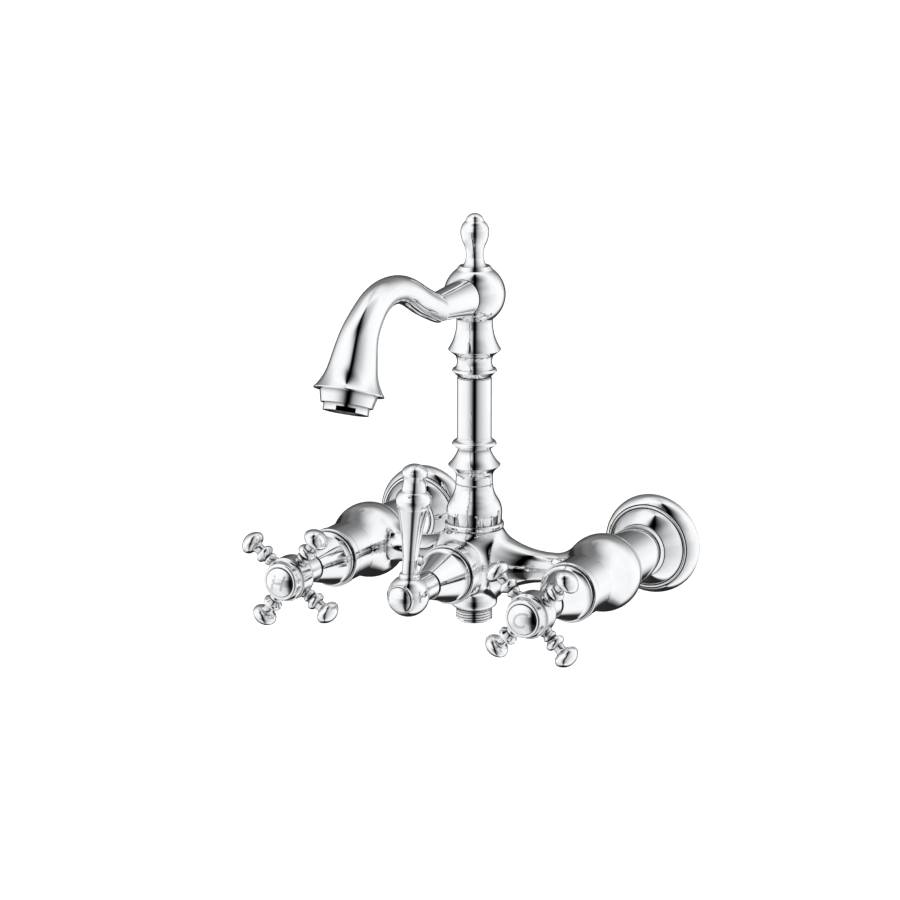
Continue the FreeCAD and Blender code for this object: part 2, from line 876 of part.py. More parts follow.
def arm_outline():
    peg_end = arm_seat - mm.arm_peg_length
    return [
        (0, arm_seat + mm.arm_reach, "line"),
        (0, peg_end, "line"),
        (mm.arm_peg_radius, peg_end, "line"),
        (mm.arm_peg_radius, arm_seat, "line"),
        *shaped(arm_shares, mm.arm_knob_radius, arm_seat, mm.arm_reach),
    ]


def arm_socket():
    seat_radius = mm.arm_knob_radius * arm_shares[0][0] + mm.slide_clearance
    peg_radius = mm.arm_peg_radius + mm.slide_clearance
    peg_end = arm_seat - mm.arm_peg_length - mm.face_gap
    outside = mm.hub_radius + mm.cut_overrun
    return [
        (0, outside, "line"),
        (0, peg_end, "line"),
        (peg_radius, peg_end, "line"),
        (peg_radius, arm_seat, "line"),
        (seat_radius, arm_seat, "line"),
        (seat_radius, outside, "line"),
    ]


def screw(label, x, floor):
    low = floor - mm.screw_length + mm.face_gap
    top = floor + mm.screw_head_height
    outline = [
        (0, low, "line"),
        (mm.screw_radius, low, "line"),
        (mm.screw_radius, floor, "line"),
        (mm.screw_head_radius, floor, "line"),
        (mm.screw_head_radius, top, "line"),
        (0, top, "line"),
    ]
    keep(turned(f"{label}_turned", outline, (x, -handle_reach, 0), outward), label)


hub_cove_share = -0.3
tip_bore = mm.spindle_tip_radius + mm.slide_clearance
stem_room = mm.spindle_radius + mm.slide_clearance


def cross_handle(side, turn_angle):
    x = sides[side]
    centre = (x, -handle_reach, 0)
    turn = outward * turned_about("z", degrees.arm_spread + turn_angle)
    cove_start = mm.hub_front - mm.hub_cove
    outline = [
        (stem_room, -mm.hub_tail, "line"),
        (mm.hub_neck_radius, -mm.hub_tail, "line"),
        (mm.hub_neck_radius, -mm.hub_back, "arrive"),
        (mm.hub_radius, -mm.hub_back + mm.hub_crown, "line"),
        (mm.hub_radius, cove_start - mm.hub_edge, "line"),
        (mm.hub_radius - mm.hub_edge, cove_start, hub_cove_share),
        (mm.cap_ring_radius, mm.hub_front, "line"),
        (mm.hub_recess_radius, mm.hub_front, "line"),
        (mm.hub_recess_radius, mm.hub_recess_floor, "line"),
        (tip_bore, mm.hub_recess_floor, "line"),
        (tip_bore, -mm.spindle_shoulder_back, "line"),
        (stem_room, -mm.spindle_shoulder_back, "line"),
    ]
    hub = new_body(f"{side}_hub", centre, turn)
    revolve(hub, "Revolution", f"{side}_hub", outline)
    socket = revolve(hub, "Groove", f"{side}_arm_socket", arm_socket(), "H")
    around(hub, socket, arm_count)
    keep(hub, f"{side}_handle_hub")
    arms = new_body(f"{side}_arms", centre, turn)
    first = revolve(arms, "Revolution", f"{side}_arms", arm_outline(), "H")
    around(arms, first, arm_count)
    keep(arms, f"{side}_handle_arms")
    screw(f"{side}_handle_screw", x, mm.hub_recess_floor)
    ring_top = mm.hub_front + mm.cap_ring_height
    ring = [
        (mm.hub_recess_radius, mm.hub_front, "line"),
        (mm.cap_ring_radius, mm.hub_front, "line"),
        (mm.cap_ring_radius, ring_top - mm.cap_ring_height / 2, "leave"),
        (mm.cap_radius + mm.face_gap, ring_top, "line"),
        (mm.hub_recess_radius, ring_top, "line"),
    ]
    keep(turned(f"{side}_ring", ring, centre, outward), f"{side}_cap_ring")
    plug_radius = mm.hub_recess_radius - mm.slide_clearance
    cap = [
        (0, ring_top - mm.cap_plug_length, "line"),
        (plug_radius, ring_top - mm.cap_plug_length, "line"),
        (plug_radius, ring_top, "line"),
        (mm.cap_radius, ring_top, "line"),
        (mm.cap_radius, ring_top + mm.cap_height / 4, "close"),
        (0, ring_top + mm.cap_height, "line"),
    ]
    keep(turned(f"{side}_cap", cap, centre, outward), f"{side}_index_cap")


# Diverter lever: ball hub, domed cap and the turned lever, which stands up from the ball
lever_shares = [
    (0.59, 0.0, "line"),
    (0.59, 0.044, "leave"),
    (0.455, 0.07, "line"),
    (0.43, 0.19, -0.04),
    (0.9, 0.63, "arrive"),
    (1.0, 0.69, "leave"),
    (0.69, 0.775, "line"),
    (0.665, 0.8, "line"),
    (0.615, 0.845, "leave"),
    (0.7, 0.905, "arrive"),
    (0.72, 0.915, "line"),
    (0.72, 0.935, "leave"),
    (0.66, 0.955, "close"),
]
lever_seat = mm.lever_ball_radius - mm.lever_sink
lever_front_face = leg(mm.lever_ball_radius, mm.lever_face_radius)


def diverter_lever():
    centre = (0, -handle_reach, 0)
    turn = outward * turned_about("z", 90 - degrees.lever_turn)
    neck_end = -leg(mm.lever_ball_radius, mm.hub_neck_radius)
    recess_floor = mm.hub_recess_floor
    outline = [
        (stem_room, -mm.hub_tail, "line"),
        (mm.hub_neck_radius, -mm.hub_tail, "line"),
        (mm.hub_neck_radius, neck_end, "arrive"),
        (mm.lever_ball_radius, 0, "leave"),
        (mm.lever_face_radius, lever_front_face, "line"),
        (mm.hub_recess_radius, lever_front_face, "line"),
        (mm.hub_recess_radius, recess_floor, "line"),
        (tip_bore, recess_floor, "line"),
        (tip_bore, -mm.spindle_shoulder_back, "line"),
        (stem_room, -mm.spindle_shoulder_back, "line"),
    ]
    hub = new_body("lever_ball", centre, turn)
    revolve(hub, "Revolution", "lever_ball", outline)
    seat_radius = mm.lever_bulb_radius * lever_shares[0][0] + mm.slide_clearance
    peg_radius = mm.lever_peg_radius + mm.slide_clearance
    peg_end = lever_seat - mm.lever_peg_length
    outside = mm.lever_ball_radius + mm.cut_overrun
    socket = [
        (0, outside, "line"),
        (0, peg_end - mm.face_gap, "line"),
        (peg_radius, peg_end - mm.face_gap, "line"),
        (peg_radius, lever_seat, "line"),
        (seat_radius, lever_seat, "line"),
        (seat_radius, outside, "line"),
    ]
    revolve(hub, "Groove", "lever_socket", socket, "H")
    keep(hub, "lever_hub")
    lever = [
        (0, lever_seat + mm.lever_reach, "line"),
        (0, peg_end, "line"),
        (mm.lever_peg_radius, peg_end, "line"),
        (mm.lever_peg_radius, lever_seat, "line"),
        *shaped(lever_shares, mm.lever_bulb_radius, lever_seat, mm.lever_reach),
    ]
    handle = new_body("lever_turned", centre, turn)
    revolve(handle, "Revolution", "lever_turned", lever, "H")
    keep(handle, "lever_arm")
    screw("lever_screw", 0, recess_floor)
    top = lever_front_face + mm.lever_cap_height
    plug_radius = mm.hub_recess_radius - mm.slide_clearance
    plug_end = lever_front_face - mm.cap_plug_length
    step = mm.lever_cap_height / 3
    cap = [
        (0, plug_end, "line"),
        (plug_radius, plug_end, "line"),
        (plug_radius, lever_front_face, "line"),
        (mm.lever_cap_radius, lever_front_face, "line"),
        (mm.lever_cap_radius, lever_front_face + step, "line"),
        (mm.lever_cap_radius - step / 2, lever_front_face + step, "close"),
        (0, top, "line"),
    ]
    keep(turned("lever_cap_turned", cap, centre, outward), "lever_hub_cap")


# Column: bell nut, swivel pieces, ferrules, tube, ball and finial, all about the column's axis
bell_shares = [
    (0.94, 0.0, "line"),
    (0.965, 0.02, "arrive"),
    (1.0, 0.05, "line"),
    (1.0, 0.09, "leave"),
    (0.925, 0.14, "line"),
    (0.945, 0.34, "ogee"),
]
lower_ferrule_shares = [
    (0.72, 0.0, "line"),
    (0.71, 0.13, "leave"),
    (0.8, 0.27, "line"),
    (0.98, 0.37, "arrive"),
    (1.0, 0.39, -0.12),
    (0.615, 0.73, "line"),
    (0.85, 0.84, "leave"),
    (0.735, 0.92, "arrive"),
]
upper_ferrule_shares = [
    (0.63, 0.0, "line"),
    (0.62, 0.02, "line"),
    (0.85, 0.13, "leave"),
    (0.74, 0.18, "arrive"),
    (0.665, 0.29, "leave"),
    (0.73, 0.405, "line"),
    (0.98, 0.5, "arrive"),
    (1.0, 0.52, "arrive"),
]
finial_shares = [
    (0.83, 0.0, "arrive"),
    (0.61, 0.2, "ogee"),
    (1.0, 0.65, "leave"),
    (0.66, 0.85, "line"),
    (0.56, 0.92, "close"),
]
bell_low = mm.barrel_top
bell_top = bell_low + mm.bell_height
ferrule_low = bell_top + mm.swivel_washer_thickness + mm.face_gap
lower_ferrule_top = ferrule_low + mm.lower_ferrule_height
tube_top = lower_ferrule_top + mm.tube_length
upper_ferrule_top = tube_top + mm.upper_ferrule_height
spout_ball_height = upper_ferrule_top + leg(mm.spout_ball_radius, mm.ball_neck_radius) + mm.ball_neck_height
collar_meets = spout_ball_height + leg(mm.spout_ball_radius, mm.ball_collar_radius)
collar_top = collar_meets + mm.ball_collar_height
finial_top = collar_top + mm.finial_height
riser_foot = bell_low - mm.riser_drop
riser_seat = ferrule_low + mm.riser_seat_depth
riser_top = upper_ferrule_top + mm.riser_past_ferrule
swivel_ring_first = riser_foot + mm.swivel_ring_inset
core_bore = mm.riser_core_radius + mm.slide_clearance
throat_bore = mm.riser_radius + mm.swing_gap


def bell_nut():
    shoulder = bell_low + mm.bell_shoulder
    outline = [
        (mm.bell_cavity_radius, bell_low, "line"),
        *shaped(bell_shares, mm.bell_radius, bell_low, mm.bell_height),
        (mm.bell_top_radius, bell_top, "line"),
        (throat_bore, bell_top, "line"),
        (throat_bore, shoulder, "line"),
        (mm.bell_cavity_radius, shoulder, "line"),
    ]
    keep(turned("bell", outline, column_foot), "spout_base_nut")
    flange_top = bell_low + mm.face_gap + mm.riser_flange_height
    glide_radius = mm.bell_cavity_radius - mm.slide_clearance
    glide = tube_outline(throat_bore, glide_radius, flange_top + mm.face_gap, shoulder)
    keep(turned("glide", glide, column_foot), "swivel_glide_ring")
    washer_top = bell_top + mm.swivel_washer_thickness
    washer = tube_outline(throat_bore, mm.bell_top_radius - mm.swing_gap, bell_top, washer_top)
    keep(turned("swivel_disc", washer, column_foot), "swivel_washer")


def riser():
    flange_low = bell_low + mm.face_gap
    flange_top = flange_low + mm.riser_flange_height
    slot_floor = mm.riser_radius - mm.ring_section * 2
    slots = []
    for index in range(2):
        middle = swivel_ring_first + mm.swivel_ring_pitch * index
        slots += [
            (mm.riser_radius, middle - ring_slot / 2, "line"),
            (slot_floor, middle - ring_slot / 2, "line"),
            (slot_floor, middle + ring_slot / 2, "line"),
            (mm.riser_radius, middle + ring_slot / 2, "line"),
        ]
    outline = [
        (mm.riser_bore, riser_foot, "line"),
        (mm.riser_radius, riser_foot, "line"),
        *slots,
        (mm.riser_radius, flange_low, "line"),
        (mm.riser_flange_radius, flange_low, "line"),
        (mm.riser_flange_radius, flange_top, "line"),
        (mm.riser_radius, flange_top, "line"),
        (mm.riser_radius, riser_seat, "line"),
        (mm.riser_core_radius, riser_seat, "line"),
        (mm.riser_core_radius, riser_top, "line"),
        (mm.riser_bore, riser_top, "line"),
    ]
    keep(turned("riser", outline, column_foot), "riser_spigot")
    rings_at = mm.riser_radius - mm.ring_section
    ring_pair("swivel_rings", rings_at, swivel_ring_first, mm.swivel_ring_pitch, column_foot, upright)


def column():
    seat_bore = mm.riser_radius + mm.slide_clearance
    low, high = ferrule_low, lower_ferrule_top
    lower = [
        (seat_bore, low, "line"),
        *shaped(lower_ferrule_shares, mm.ferrule_radius, low, high - low),
        (mm.tube_radius, high, "line"),
        (core_bore, high, "line"),
        (core_bore, riser_seat, "line"),
        (seat_bore, riser_seat, "line"),
    ]
    keep(turned("ferrule_below", lower, column_foot), "lower_ferrule")
    tube = tube_outline(core_bore, mm.tube_radius, high, tube_top)
    keep(turned("tube", tube, column_foot), "riser_tube")
    low, high = tube_top, upper_ferrule_top
    upper = [
        (core_bore, low, "line"),
        *shaped(upper_ferrule_shares, mm.ferrule_radius, low, high - low),
        (mm.ball_neck_radius, high, "line"),
        (core_bore, high, "line"),
    ]
    keep(turned("ferrule_above", upper, column_foot), "upper_ferrule")


stub_axis = spout_ball_height
stub_seat = column_reach + mm.stub_socket_depth


def spout_ball():
    radius = mm.spout_ball_radius
    middle = spout_ball_height
    stud_room = mm.finial_stud_radius + mm.slide_clearance
    stud_floor = middle + mm.ball_cavity_radius + mm.ball_top_wall
    stud_end = stud_floor + mm.face_gap
    outline = [
        (core_bore, upper_ferrule_top, "line"),
        (mm.ball_neck_radius, upper_ferrule_top, "line"),
        (mm.ball_neck_radius, middle - leg(radius, mm.ball_neck_radius), "arrive"),
        (radius, middle, "leave"),
        (mm.ball_collar_radius, collar_meets, "line"),
        (mm.ball_collar_top_radius, collar_top, "line"),
        (stud_room, collar_top, "line"),
        (stud_room, stud_floor, "line"),
        (0, stud_floor, "line"),
        (0, middle + mm.ball_cavity_radius, "spread"),
        (mm.ball_cavity_radius, middle, "leave"),
        (core_bore, middle - leg(mm.ball_cavity_radius, core_bore), "line"),
    ]
    blank = turned("ball_blank", outline, column_foot)
    socket = rod(
        "stub_socket",
        mm.stub_radius + mm.slide_clearance,
        mm.spout_ball_radius,
        (0, -stub_seat, stub_axis),
        outward,
    )
    keep(cut("ball_cut", blank, [socket]), "spout_ball")
    finial_outline = [
        (0, stud_end, "line"),
        (mm.finial_stud_radius, stud_end, "line"),
        (mm.finial_stud_radius, collar_top, "line"),
        *shaped(finial_shares, mm.finial_radius, collar_top, mm.finial_height),
        (0, finial_top, "line"),
    ]
    keep(turned("finial_turned", finial_outline, column_foot), "finial")


# Swan neck: places along the reach, heights against the rise, radii against the neck, lean of each section
swan_section_shares = [
    (0.0, 0.0, 1.0, 24),
    (0.165, 0.345, 1.0, 27),
    (0.34, 0.79, 0.99, 22),
    (0.47, 0.985, 0.98, 8),
    (0.605, 1.0, 1.0, -7),
    (0.715, 0.86, 1.05, -25),
    (0.81, 0.57, 1.12, -42),
    (0.925, -0.02, 1.31, -59),
    (1.0, -0.9, 1.65, -70),
]
mouth_flare_share = -0.13


def swan_place(reach_share, rise_share):
    return (0, -(kink_reach + mm.swan_reach * reach_share), stub_axis + mm.swan_rise * rise_share)


def swan_loft(name, thinner):
    circles = []
    for index, (reach_share, rise_share, radius_share, lean) in enumerate(swan_section_shares):
        circle = document.addObject("Part::Circle", f"{name}_{index}")
        bind(circle, "Radius", mm.swan_radius * radius_share - thinner)
        place(circle, swan_place(reach_share, rise_share), turned_about("x", 90 - lean))
        circles.append(circle)
    loft = document.addObject("Part::Loft", name)
    loft.Sections = circles
    loft.Solid = True
    return loft


def ball(name, radius, where):
    sphere = document.addObject("Part::Sphere", name)
    bind(sphere, "Radius", radius)
    place(sphere, where, upright)
    return sphere


kink_reach = stub_seat + mm.stub_length - mm.stub_socket_depth
mouth_start = swan_place(*swan_section_shares[-1][:2])
mouth_start_radius = mm.swan_radius * swan_section_shares[-1][2]
step_end = mm.mouth_length + mm.mouth_rim + mm.mouth_step_height
bore_floor = step_end - mm.mouth_bore_depth
thread_bore = mm.aerator_thread_radius + mm.slide_clearance


# Spout: tapered stub into the ball, swan neck, flared mouth with its stepped collar, one waterway through all
def spout_neck():
    stub_end = column_reach + mm.stub_length
    entry = leg(mm.spout_ball_radius, mm.stub_radius)
    stub = turned("stub", [
        (0, stub_seat, "line"),
        (mm.stub_radius, stub_seat, "line"),
        (mm.stub_radius, column_reach + entry, "line"),
        (mm.swan_radius, stub_end, "line"),
        (0, stub_end, "line"),
    ], (0, 0, stub_axis), outward)
    mouth = turned("mouth", [
        (0, 0, "line"),
        (mouth_start_radius, 0, mouth_flare_share),
        (mm.mouth_radius, mm.mouth_length, "line"),
        (mm.mouth_radius, mm.mouth_length + mm.mouth_rim / 2, "line"),
        (mm.mouth_step_radius, mm.mouth_length + mm.mouth_rim, "line"),
        (mm.mouth_step_end_radius, step_end, "line"),
        (0, step_end, "line"),
    ], mouth_start, to_outlet)
    kink = (0, -kink_reach, stub_axis)
    knee = ball("kink", mm.swan_radius + mm.face_gap, kink)
    outside = fused("spout_outside", [stub, knee, swan_loft("swan", 0), mouth])
    water_radius = mm.swan_radius - mm.spout_wall
    mouth_way = turned("mouth_way", [
        (0, 0, "line"),
        (mouth_start_radius - mm.spout_wall, 0, "line"),
        (mouth_start_radius - mm.spout_wall, bore_floor, "line"),
        (thread_bore, bore_floor, "line"),
        (thread_bore, step_end + mm.cut_overrun, "line"),
        (0, step_end + mm.cut_overrun, "line"),
    ], mouth_start, to_outlet)
    way_length = kink_reach - column_reach
    stub_way = rod("stub_way", water_radius, way_length, (0, -column_reach, stub_axis), outward)
    knee_way = ball("kink_way", water_radius + mm.face_gap, kink)
    spout = outside
    for way in (stub_way, knee_way, swan_loft("swan_way", mm.spout_wall), mouth_way):
        spout = cut(f"{way.Name}_cut", spout, [way])
    keep(spout, "spout_neck")


# Aerator: threaded housing with two spanner flats, jet insert on its lip, washer above
def aerator():
    turn = to_outlet * turned_about("z", degrees.flat_turn)
    low = step_end - mm.aerator_thread_length
    high = step_end + mm.aerator_height
    collar = step_end + mm.aerator_collar
    lip = high - mm.aerator_lip_height
    blank = turned("aerator_blank", [
        (mm.aerator_bore, low, "line"),
        (mm.aerator_thread_radius, low, "line"),
        (mm.aerator_thread_radius, step_end, "line"),
        (mm.aerator_radius, step_end, "line"),
        (mm.aerator_radius, high, "line"),
        (mm.aerator_lip, high, "line"),
        (mm.aerator_lip, lip, "line"),
        (mm.aerator_bore, lip, "line"),
    ], mouth_start, turn)
    blocks = []
    for index in range(2):
        block = document.addObject("Part::Box", f"flats_block_{index}")
        bind(block, "Length", mm.aerator_radius * 2)
        bind(block, "Width", mm.aerator_radius)
        bind(block, "Height", high - collar + mm.cut_overrun)
        half_turn = turn * turned_about("z", 180 * index)
        place(block, mouth_start, half_turn, (-mm.aerator_radius, mm.aerator_flats / 2, collar))
        blocks.append(block)
    keep(cut("aerator_flatted", blank, blocks), "aerator_housing")
    insert_low = lip - mm.aerator_insert_height
    insert_radius = mm.aerator_bore - mm.slide_clearance
    insert_blank = turned("insert_blank", tube_outline(0, insert_radius, insert_low, lip), mouth_start, turn)
    jets = []
    for index in range(jet_count):
        jet_turn = turn * turned_about("z", 360 * index / jet_count)
        away = (mm.aerator_jet_circle, 0, 0)
        jets.append(rod(f"jet_{index}", mm.aerator_jet_radius, high, mouth_start, jet_turn, away))
    jets.append(rod("jet_middle", mm.aerator_jet_radius, high, mouth_start, turn))
    keep(cut("insert_cut", insert_blank, jets), "aerator_insert")
    washer_low = low - mm.aerator_washer_thickness
    washer = tube_outline(mm.aerator_washer_bore, mm.aerator_thread_radius, washer_low, low)
    keep(turned("aerator_ring", washer, mouth_start, turn), "aerator_washer")


mixer_body()
hose_nipple()
for side in sides:
    wall_side(side)
    tap_valve(side)
    bonnet(side, sides[side])
    cross_handle(side, vars(degrees)[f"{side}_handle_turn"])
bonnet("diverter", 0)
diverter_valve()
diverter_lever()
bell_nut()
riser()
column()
spout_ball()
spout_neck()
aerator()

document.recompute()
faults = [item.Name for item in document.Objects if {"Invalid", "Error"} & set(item.State)]
faults += [item.Label for item in parts if item.Shape.isNull() or not item.Shape.isValid()]
if faults:
    raise RuntimeError(f"failed: {faults}")

os.makedirs("parts", exist_ok=True)
for item in parts:
    item.Shape.exportStep(f"parts/{item.Label}.step")
print(f"{len(parts)} sub-parts written")
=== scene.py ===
import json
import math

import bmesh
import bpy
import numpy
from mathutils import Matrix, Vector


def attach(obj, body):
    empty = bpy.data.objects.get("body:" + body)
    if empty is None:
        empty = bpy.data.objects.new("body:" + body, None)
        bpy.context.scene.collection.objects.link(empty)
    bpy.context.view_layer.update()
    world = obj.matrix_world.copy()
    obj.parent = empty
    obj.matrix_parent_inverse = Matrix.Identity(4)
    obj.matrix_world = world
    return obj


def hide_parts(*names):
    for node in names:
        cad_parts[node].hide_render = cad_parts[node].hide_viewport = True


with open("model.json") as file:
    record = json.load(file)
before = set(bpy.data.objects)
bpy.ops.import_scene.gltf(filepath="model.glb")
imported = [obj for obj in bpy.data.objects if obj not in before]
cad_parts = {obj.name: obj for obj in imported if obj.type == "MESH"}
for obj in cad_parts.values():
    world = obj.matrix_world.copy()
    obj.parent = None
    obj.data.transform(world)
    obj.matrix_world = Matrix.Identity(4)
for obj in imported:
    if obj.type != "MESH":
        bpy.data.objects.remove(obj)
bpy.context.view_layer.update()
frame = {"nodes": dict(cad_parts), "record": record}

print("frame loaded:", len(frame["nodes"]), "nodes")

mm = 0.001
tiny = 1e-6  # places nearer than this are one
leastBend = 1e-4  # an arc that bends less is a line
far = 1e9

# places that several pieces share, in mm
common = {"sides": {"hot": -75.0, "cold": 75.0}, "columnReach": 83.0, "handlePlane": 161.4}


class Wire:  # a socket that takes part in sums
    def __init__(self, tree, socket):
        self.tree = tree
        self.socket = socket

    def node(self, kind, settings=None, output=0, **sockets):
        return addNode(self.tree, kind, settings, output, **sockets)

    def math(self, operation, *others):
        node = self.tree.nodes.new("ShaderNodeMath")
        node.operation = operation
        for index, value in enumerate((self, *others)):
            feed(self.tree, node.inputs[index], value)
        return Wire(self.tree, node.outputs[0])

    def __add__(self, other):
        return self.math("ADD", other)

    __radd__ = __add__

    def __sub__(self, other):
        return self.math("SUBTRACT", other)

    def __rsub__(self, other):
        return self.math("MULTIPLY_ADD", -1.0, other)

    def __mul__(self, other):
        return self.math("MULTIPLY", other)

    __rmul__ = __mul__

    def __truediv__(self, other):
        return self.math("DIVIDE", other)

    def __rtruediv__(self, other):
        return self.math("POWER", -1.0) * other


def feed(tree, socket, value):
    if isinstance(value, Wire):
        tree.links.new(value.socket, socket)
    else:
        socket.default_value = value


def addNode(tree, kind, settings=None, output=0, **sockets):
    node = tree.nodes.new(kind)
    for name, value in (settings or {}).items():
        if name == "stops":
            elements = node.color_ramp.elements
            while len(elements) < len(value):
                elements.new(1.0)
            for element, (place, shade) in zip(elements, value):
                element.position = place
                element.color = (shade, shade, shade, 1.0) if isinstance(shade, float) else shade
        else:
            setattr(node, name, value)
    for name, value in sockets.items():
        key = int(name[1:]) if name[0] == "i" and name[1:].isdigit() else name.replace("_", " ")
        feed(tree, node.inputs[key], value)
    return Wire(tree, node.outputs[output]) if len(node.outputs) else None


def newMaterial(name):
    material = bpy.data.materials.new(name)
    material.use_nodes = True
    material.node_tree.nodes.clear()
    return material, material.node_tree


def skin(tree, **sockets):
    shader = addNode(tree, "ShaderNodeBsdfPrincipled", **sockets)
    addNode(tree, "ShaderNodeOutputMaterial", Surface=shader)


print("wires ready")

# polished chrome plate: a cool bright metal with faint polishing haze, a very soft ripple and painted shade
# that darkens it where other surfaces come near
plate = {
    "bright": (0.86, 0.87, 0.885, 1.0),
    "dim": (0.80, 0.81, 0.83, 1.0),
    # colour of the painted shade laid into creases and crevices
    "crease": (0.05, 0.05, 0.055, 1.0),
    "rough": 0.028,
    "haze": 0.03,  # added where the polish is tired
    "hazeScale": 38.0,
    "hazeStops": [(0.42, 0.0), (0.78, 1.0)],
    "rippleScale": 120.0,
    "ripple": 0.004,
    "rippleDepth": 0.001,
    "paintedShadeReach": 0.003,  # how near another surface the painted shade reaches
    # a shorter reach of painted shade, for the thread's grooves
    "threadPaintedShadeReach": 0.0006,
    "paintedShadeStops": [(0.48, 0.0), (0.93, 1.0)],
    "paintedShadeRays": 6,
}


def chrome(name, paintedShadeReach=plate["paintedShadeReach"]):
    material, tree = newMaterial(name)
    place = addNode(tree, "ShaderNodeTexCoord", output=3)
    cloud = addNode(
        tree, "ShaderNodeTexNoise", Vector=place, Scale=plate["hazeScale"], Detail=4.0, Roughness=0.6)
    tired = addNode(tree, "ShaderNodeValToRGB", {"stops": plate["hazeStops"]}, Fac=cloud)
    tone = addNode(
        tree, "ShaderNodeMix", {"data_type": "RGBA"}, output=2,
        i0=tired, i6=plate["bright"], i7=plate["dim"])
    # painted shade: where another surface is near, the plate colour is mixed towards the dark crease colour
    near = addNode(
        tree, "ShaderNodeAmbientOcclusion", {"samples": plate["paintedShadeRays"]}, output=1, Distance=paintedShadeReach)
    shade = addNode(tree, "ShaderNodeValToRGB", {"stops": plate["paintedShadeStops"]}, Fac=near)
    tone = addNode(
        tree, "ShaderNodeMix", {"data_type": "RGBA"}, output=2, i0=shade, i6=plate["crease"], i7=tone)
    wave = addNode(tree, "ShaderNodeTexNoise", Vector=place, Scale=plate["rippleScale"], Detail=2.0)
    ripple = addNode(
        tree, "ShaderNodeBump", Strength=plate["ripple"], Distance=plate["rippleDepth"], Height=wave)
    skin(tree, Base_Color=tone, Metallic=1.0, Roughness=tired * plate["haze"] + plate["rough"], Normal=ripple)
    return material


# turned bare metal: rings left by the lathe, along the given axis
turnedLook = {
    "spotScale": 90.0, "ringShare": 0.6, "spotShare": 0.4,
    "grain": 0.12, "grainDepth": 0.0004, "roughSpread": 0.2,
}


def turnedMetal(name, bright, dark, rough, axis, scale):
    material, tree = newMaterial(name)
    place = addNode(tree, "ShaderNodeTexCoord", output=3)
    along = addNode(tree, "ShaderNodeSeparateXYZ", output="XYZ".index(axis), Vector=place)
    ring = addNode(tree, "ShaderNodeTexNoise", {"noise_dimensions": "1D"}, W=along, Scale=scale, Detail=3.0)
    spot = addNode(tree, "ShaderNodeTexNoise", Vector=place, Scale=turnedLook["spotScale"], Detail=5.0)
    mask = ring * turnedLook["ringShare"] + spot * turnedLook["spotShare"]
    tone = addNode(tree, "ShaderNodeMix", {"data_type": "RGBA"}, output=2, i0=mask, i6=dark, i7=bright)
    grain = addNode(
        tree, "ShaderNodeBump", Strength=turnedLook["grain"], Distance=turnedLook["grainDepth"], Height=ring)
    spread = mask * turnedLook["roughSpread"] + rough
    skin(tree, Base_Color=tone, Metallic=1.0, Roughness=spread, Normal=grain)
    return material


# moulded or pressed matter: soft mottling and a fine skin
mouldedLook = {"cloudShare": 0.2, "grainDepth": 0.0003, "roughSpread": 0.15}


def moulded(name, tone, shade, rough, scale, bump):
    material, tree = newMaterial(name)
    place = addNode(tree, "ShaderNodeTexCoord", output=3)
    cloud = addNode(
        tree, "ShaderNodeTexNoise", Vector=place, Scale=scale * mouldedLook["cloudShare"], Detail=4.0)
    fine = addNode(tree, "ShaderNodeTexNoise", Vector=place, Scale=scale, Detail=3.0)
    colour = addNode(tree, "ShaderNodeMix", {"data_type": "RGBA"}, output=2, i0=cloud, i6=shade, i7=tone)
    grain = addNode(tree, "ShaderNodeBump", Strength=bump, Distance=mouldedLook["grainDepth"], Height=fine)
    skin(tree, Base_Color=colour, Roughness=fine * mouldedLook["roughSpread"] + rough, Normal=grain)
    return material


finishes = {
    "chrome_body": chrome("chromeBody"),
    "chrome_spout": chrome("chromeSpout"),
    "chrome_lever": chrome("chromeLever"),
    "chrome_trim": chrome("chromeTrim"),
    "chrome_handle": chrome("chromeHandle"),
    "index_cap": chrome("chromeCap"),
    "brass": turnedMetal(
        "turnedBrass", bright=(0.82, 0.66, 0.35, 1.0), dark=(0.66, 0.50, 0.24, 1.0),
        rough=0.16, axis="Y", scale=900.0),
    "steel": turnedMetal(
        "turnedSteel", bright=(0.68, 0.68, 0.69, 1.0), dark=(0.50, 0.50, 0.52, 1.0),
        rough=0.2, axis="Y", scale=1400.0),
    "rubber": moulded(
        "sealRubber", tone=(0.035, 0.035, 0.036, 1.0), shade=(0.018, 0.018, 0.019, 1.0),
        rough=0.55, scale=800.0, bump=0.3),
    "ceramic": moulded(
        "lappedCeramic", tone=(0.93, 0.92, 0.89, 1.0), shade=(0.87, 0.86, 0.83, 1.0),
        rough=0.12, scale=500.0, bump=0.05),
    "bearing_plastic": moulded(
        "bearingPlastic", tone=(0.91, 0.91, 0.89, 1.0), shade=(0.84, 0.84, 0.82, 1.0),
        rough=0.35, scale=600.0, bump=0.12),
    "jet_plastic": moulded(
        "jetPlastic", tone=(0.27, 0.28, 0.29, 1.0), shade=(0.20, 0.21, 0.22, 1.0),
        rough=0.4, scale=700.0, bump=0.15),
}
for part in frame["record"]["subparts"]:
    node = frame["nodes"][part["node"]]
    if not node.data.materials:
        node.data.materials.append(None)
    for index in range(len(node.data.materials)):
        node.data.materials[index] = finishes[part["material_slot"]]

# outlines are (radius, along, edge) in mm: the edge to the next point is a line, an arc that leaves or
# arrives along the axis, one that closes square to it, or an arc by its bulge as a share of half its chord
arcStep = math.radians(5.0)


def arcBend(start, end, edge):
    across, along = end[0] - start[0], end[1] - start[1]
    heading = math.atan2(along, across)
    if edge == "line":
        bend = 0.0
    elif isinstance(edge, float):
        bend = 2.0 * math.atan(edge)
    elif edge == "leave":
        bend = heading - math.atan2(math.copysign(1.0, along), 0.0)
    elif edge == "arrive":
        bend = math.atan2(math.copysign(1.0, along), 0.0) - heading
    else:
        bend = math.atan2(0.0, math.copysign(1.0, across)) - heading
    return (bend + math.pi) % math.tau - math.pi, heading


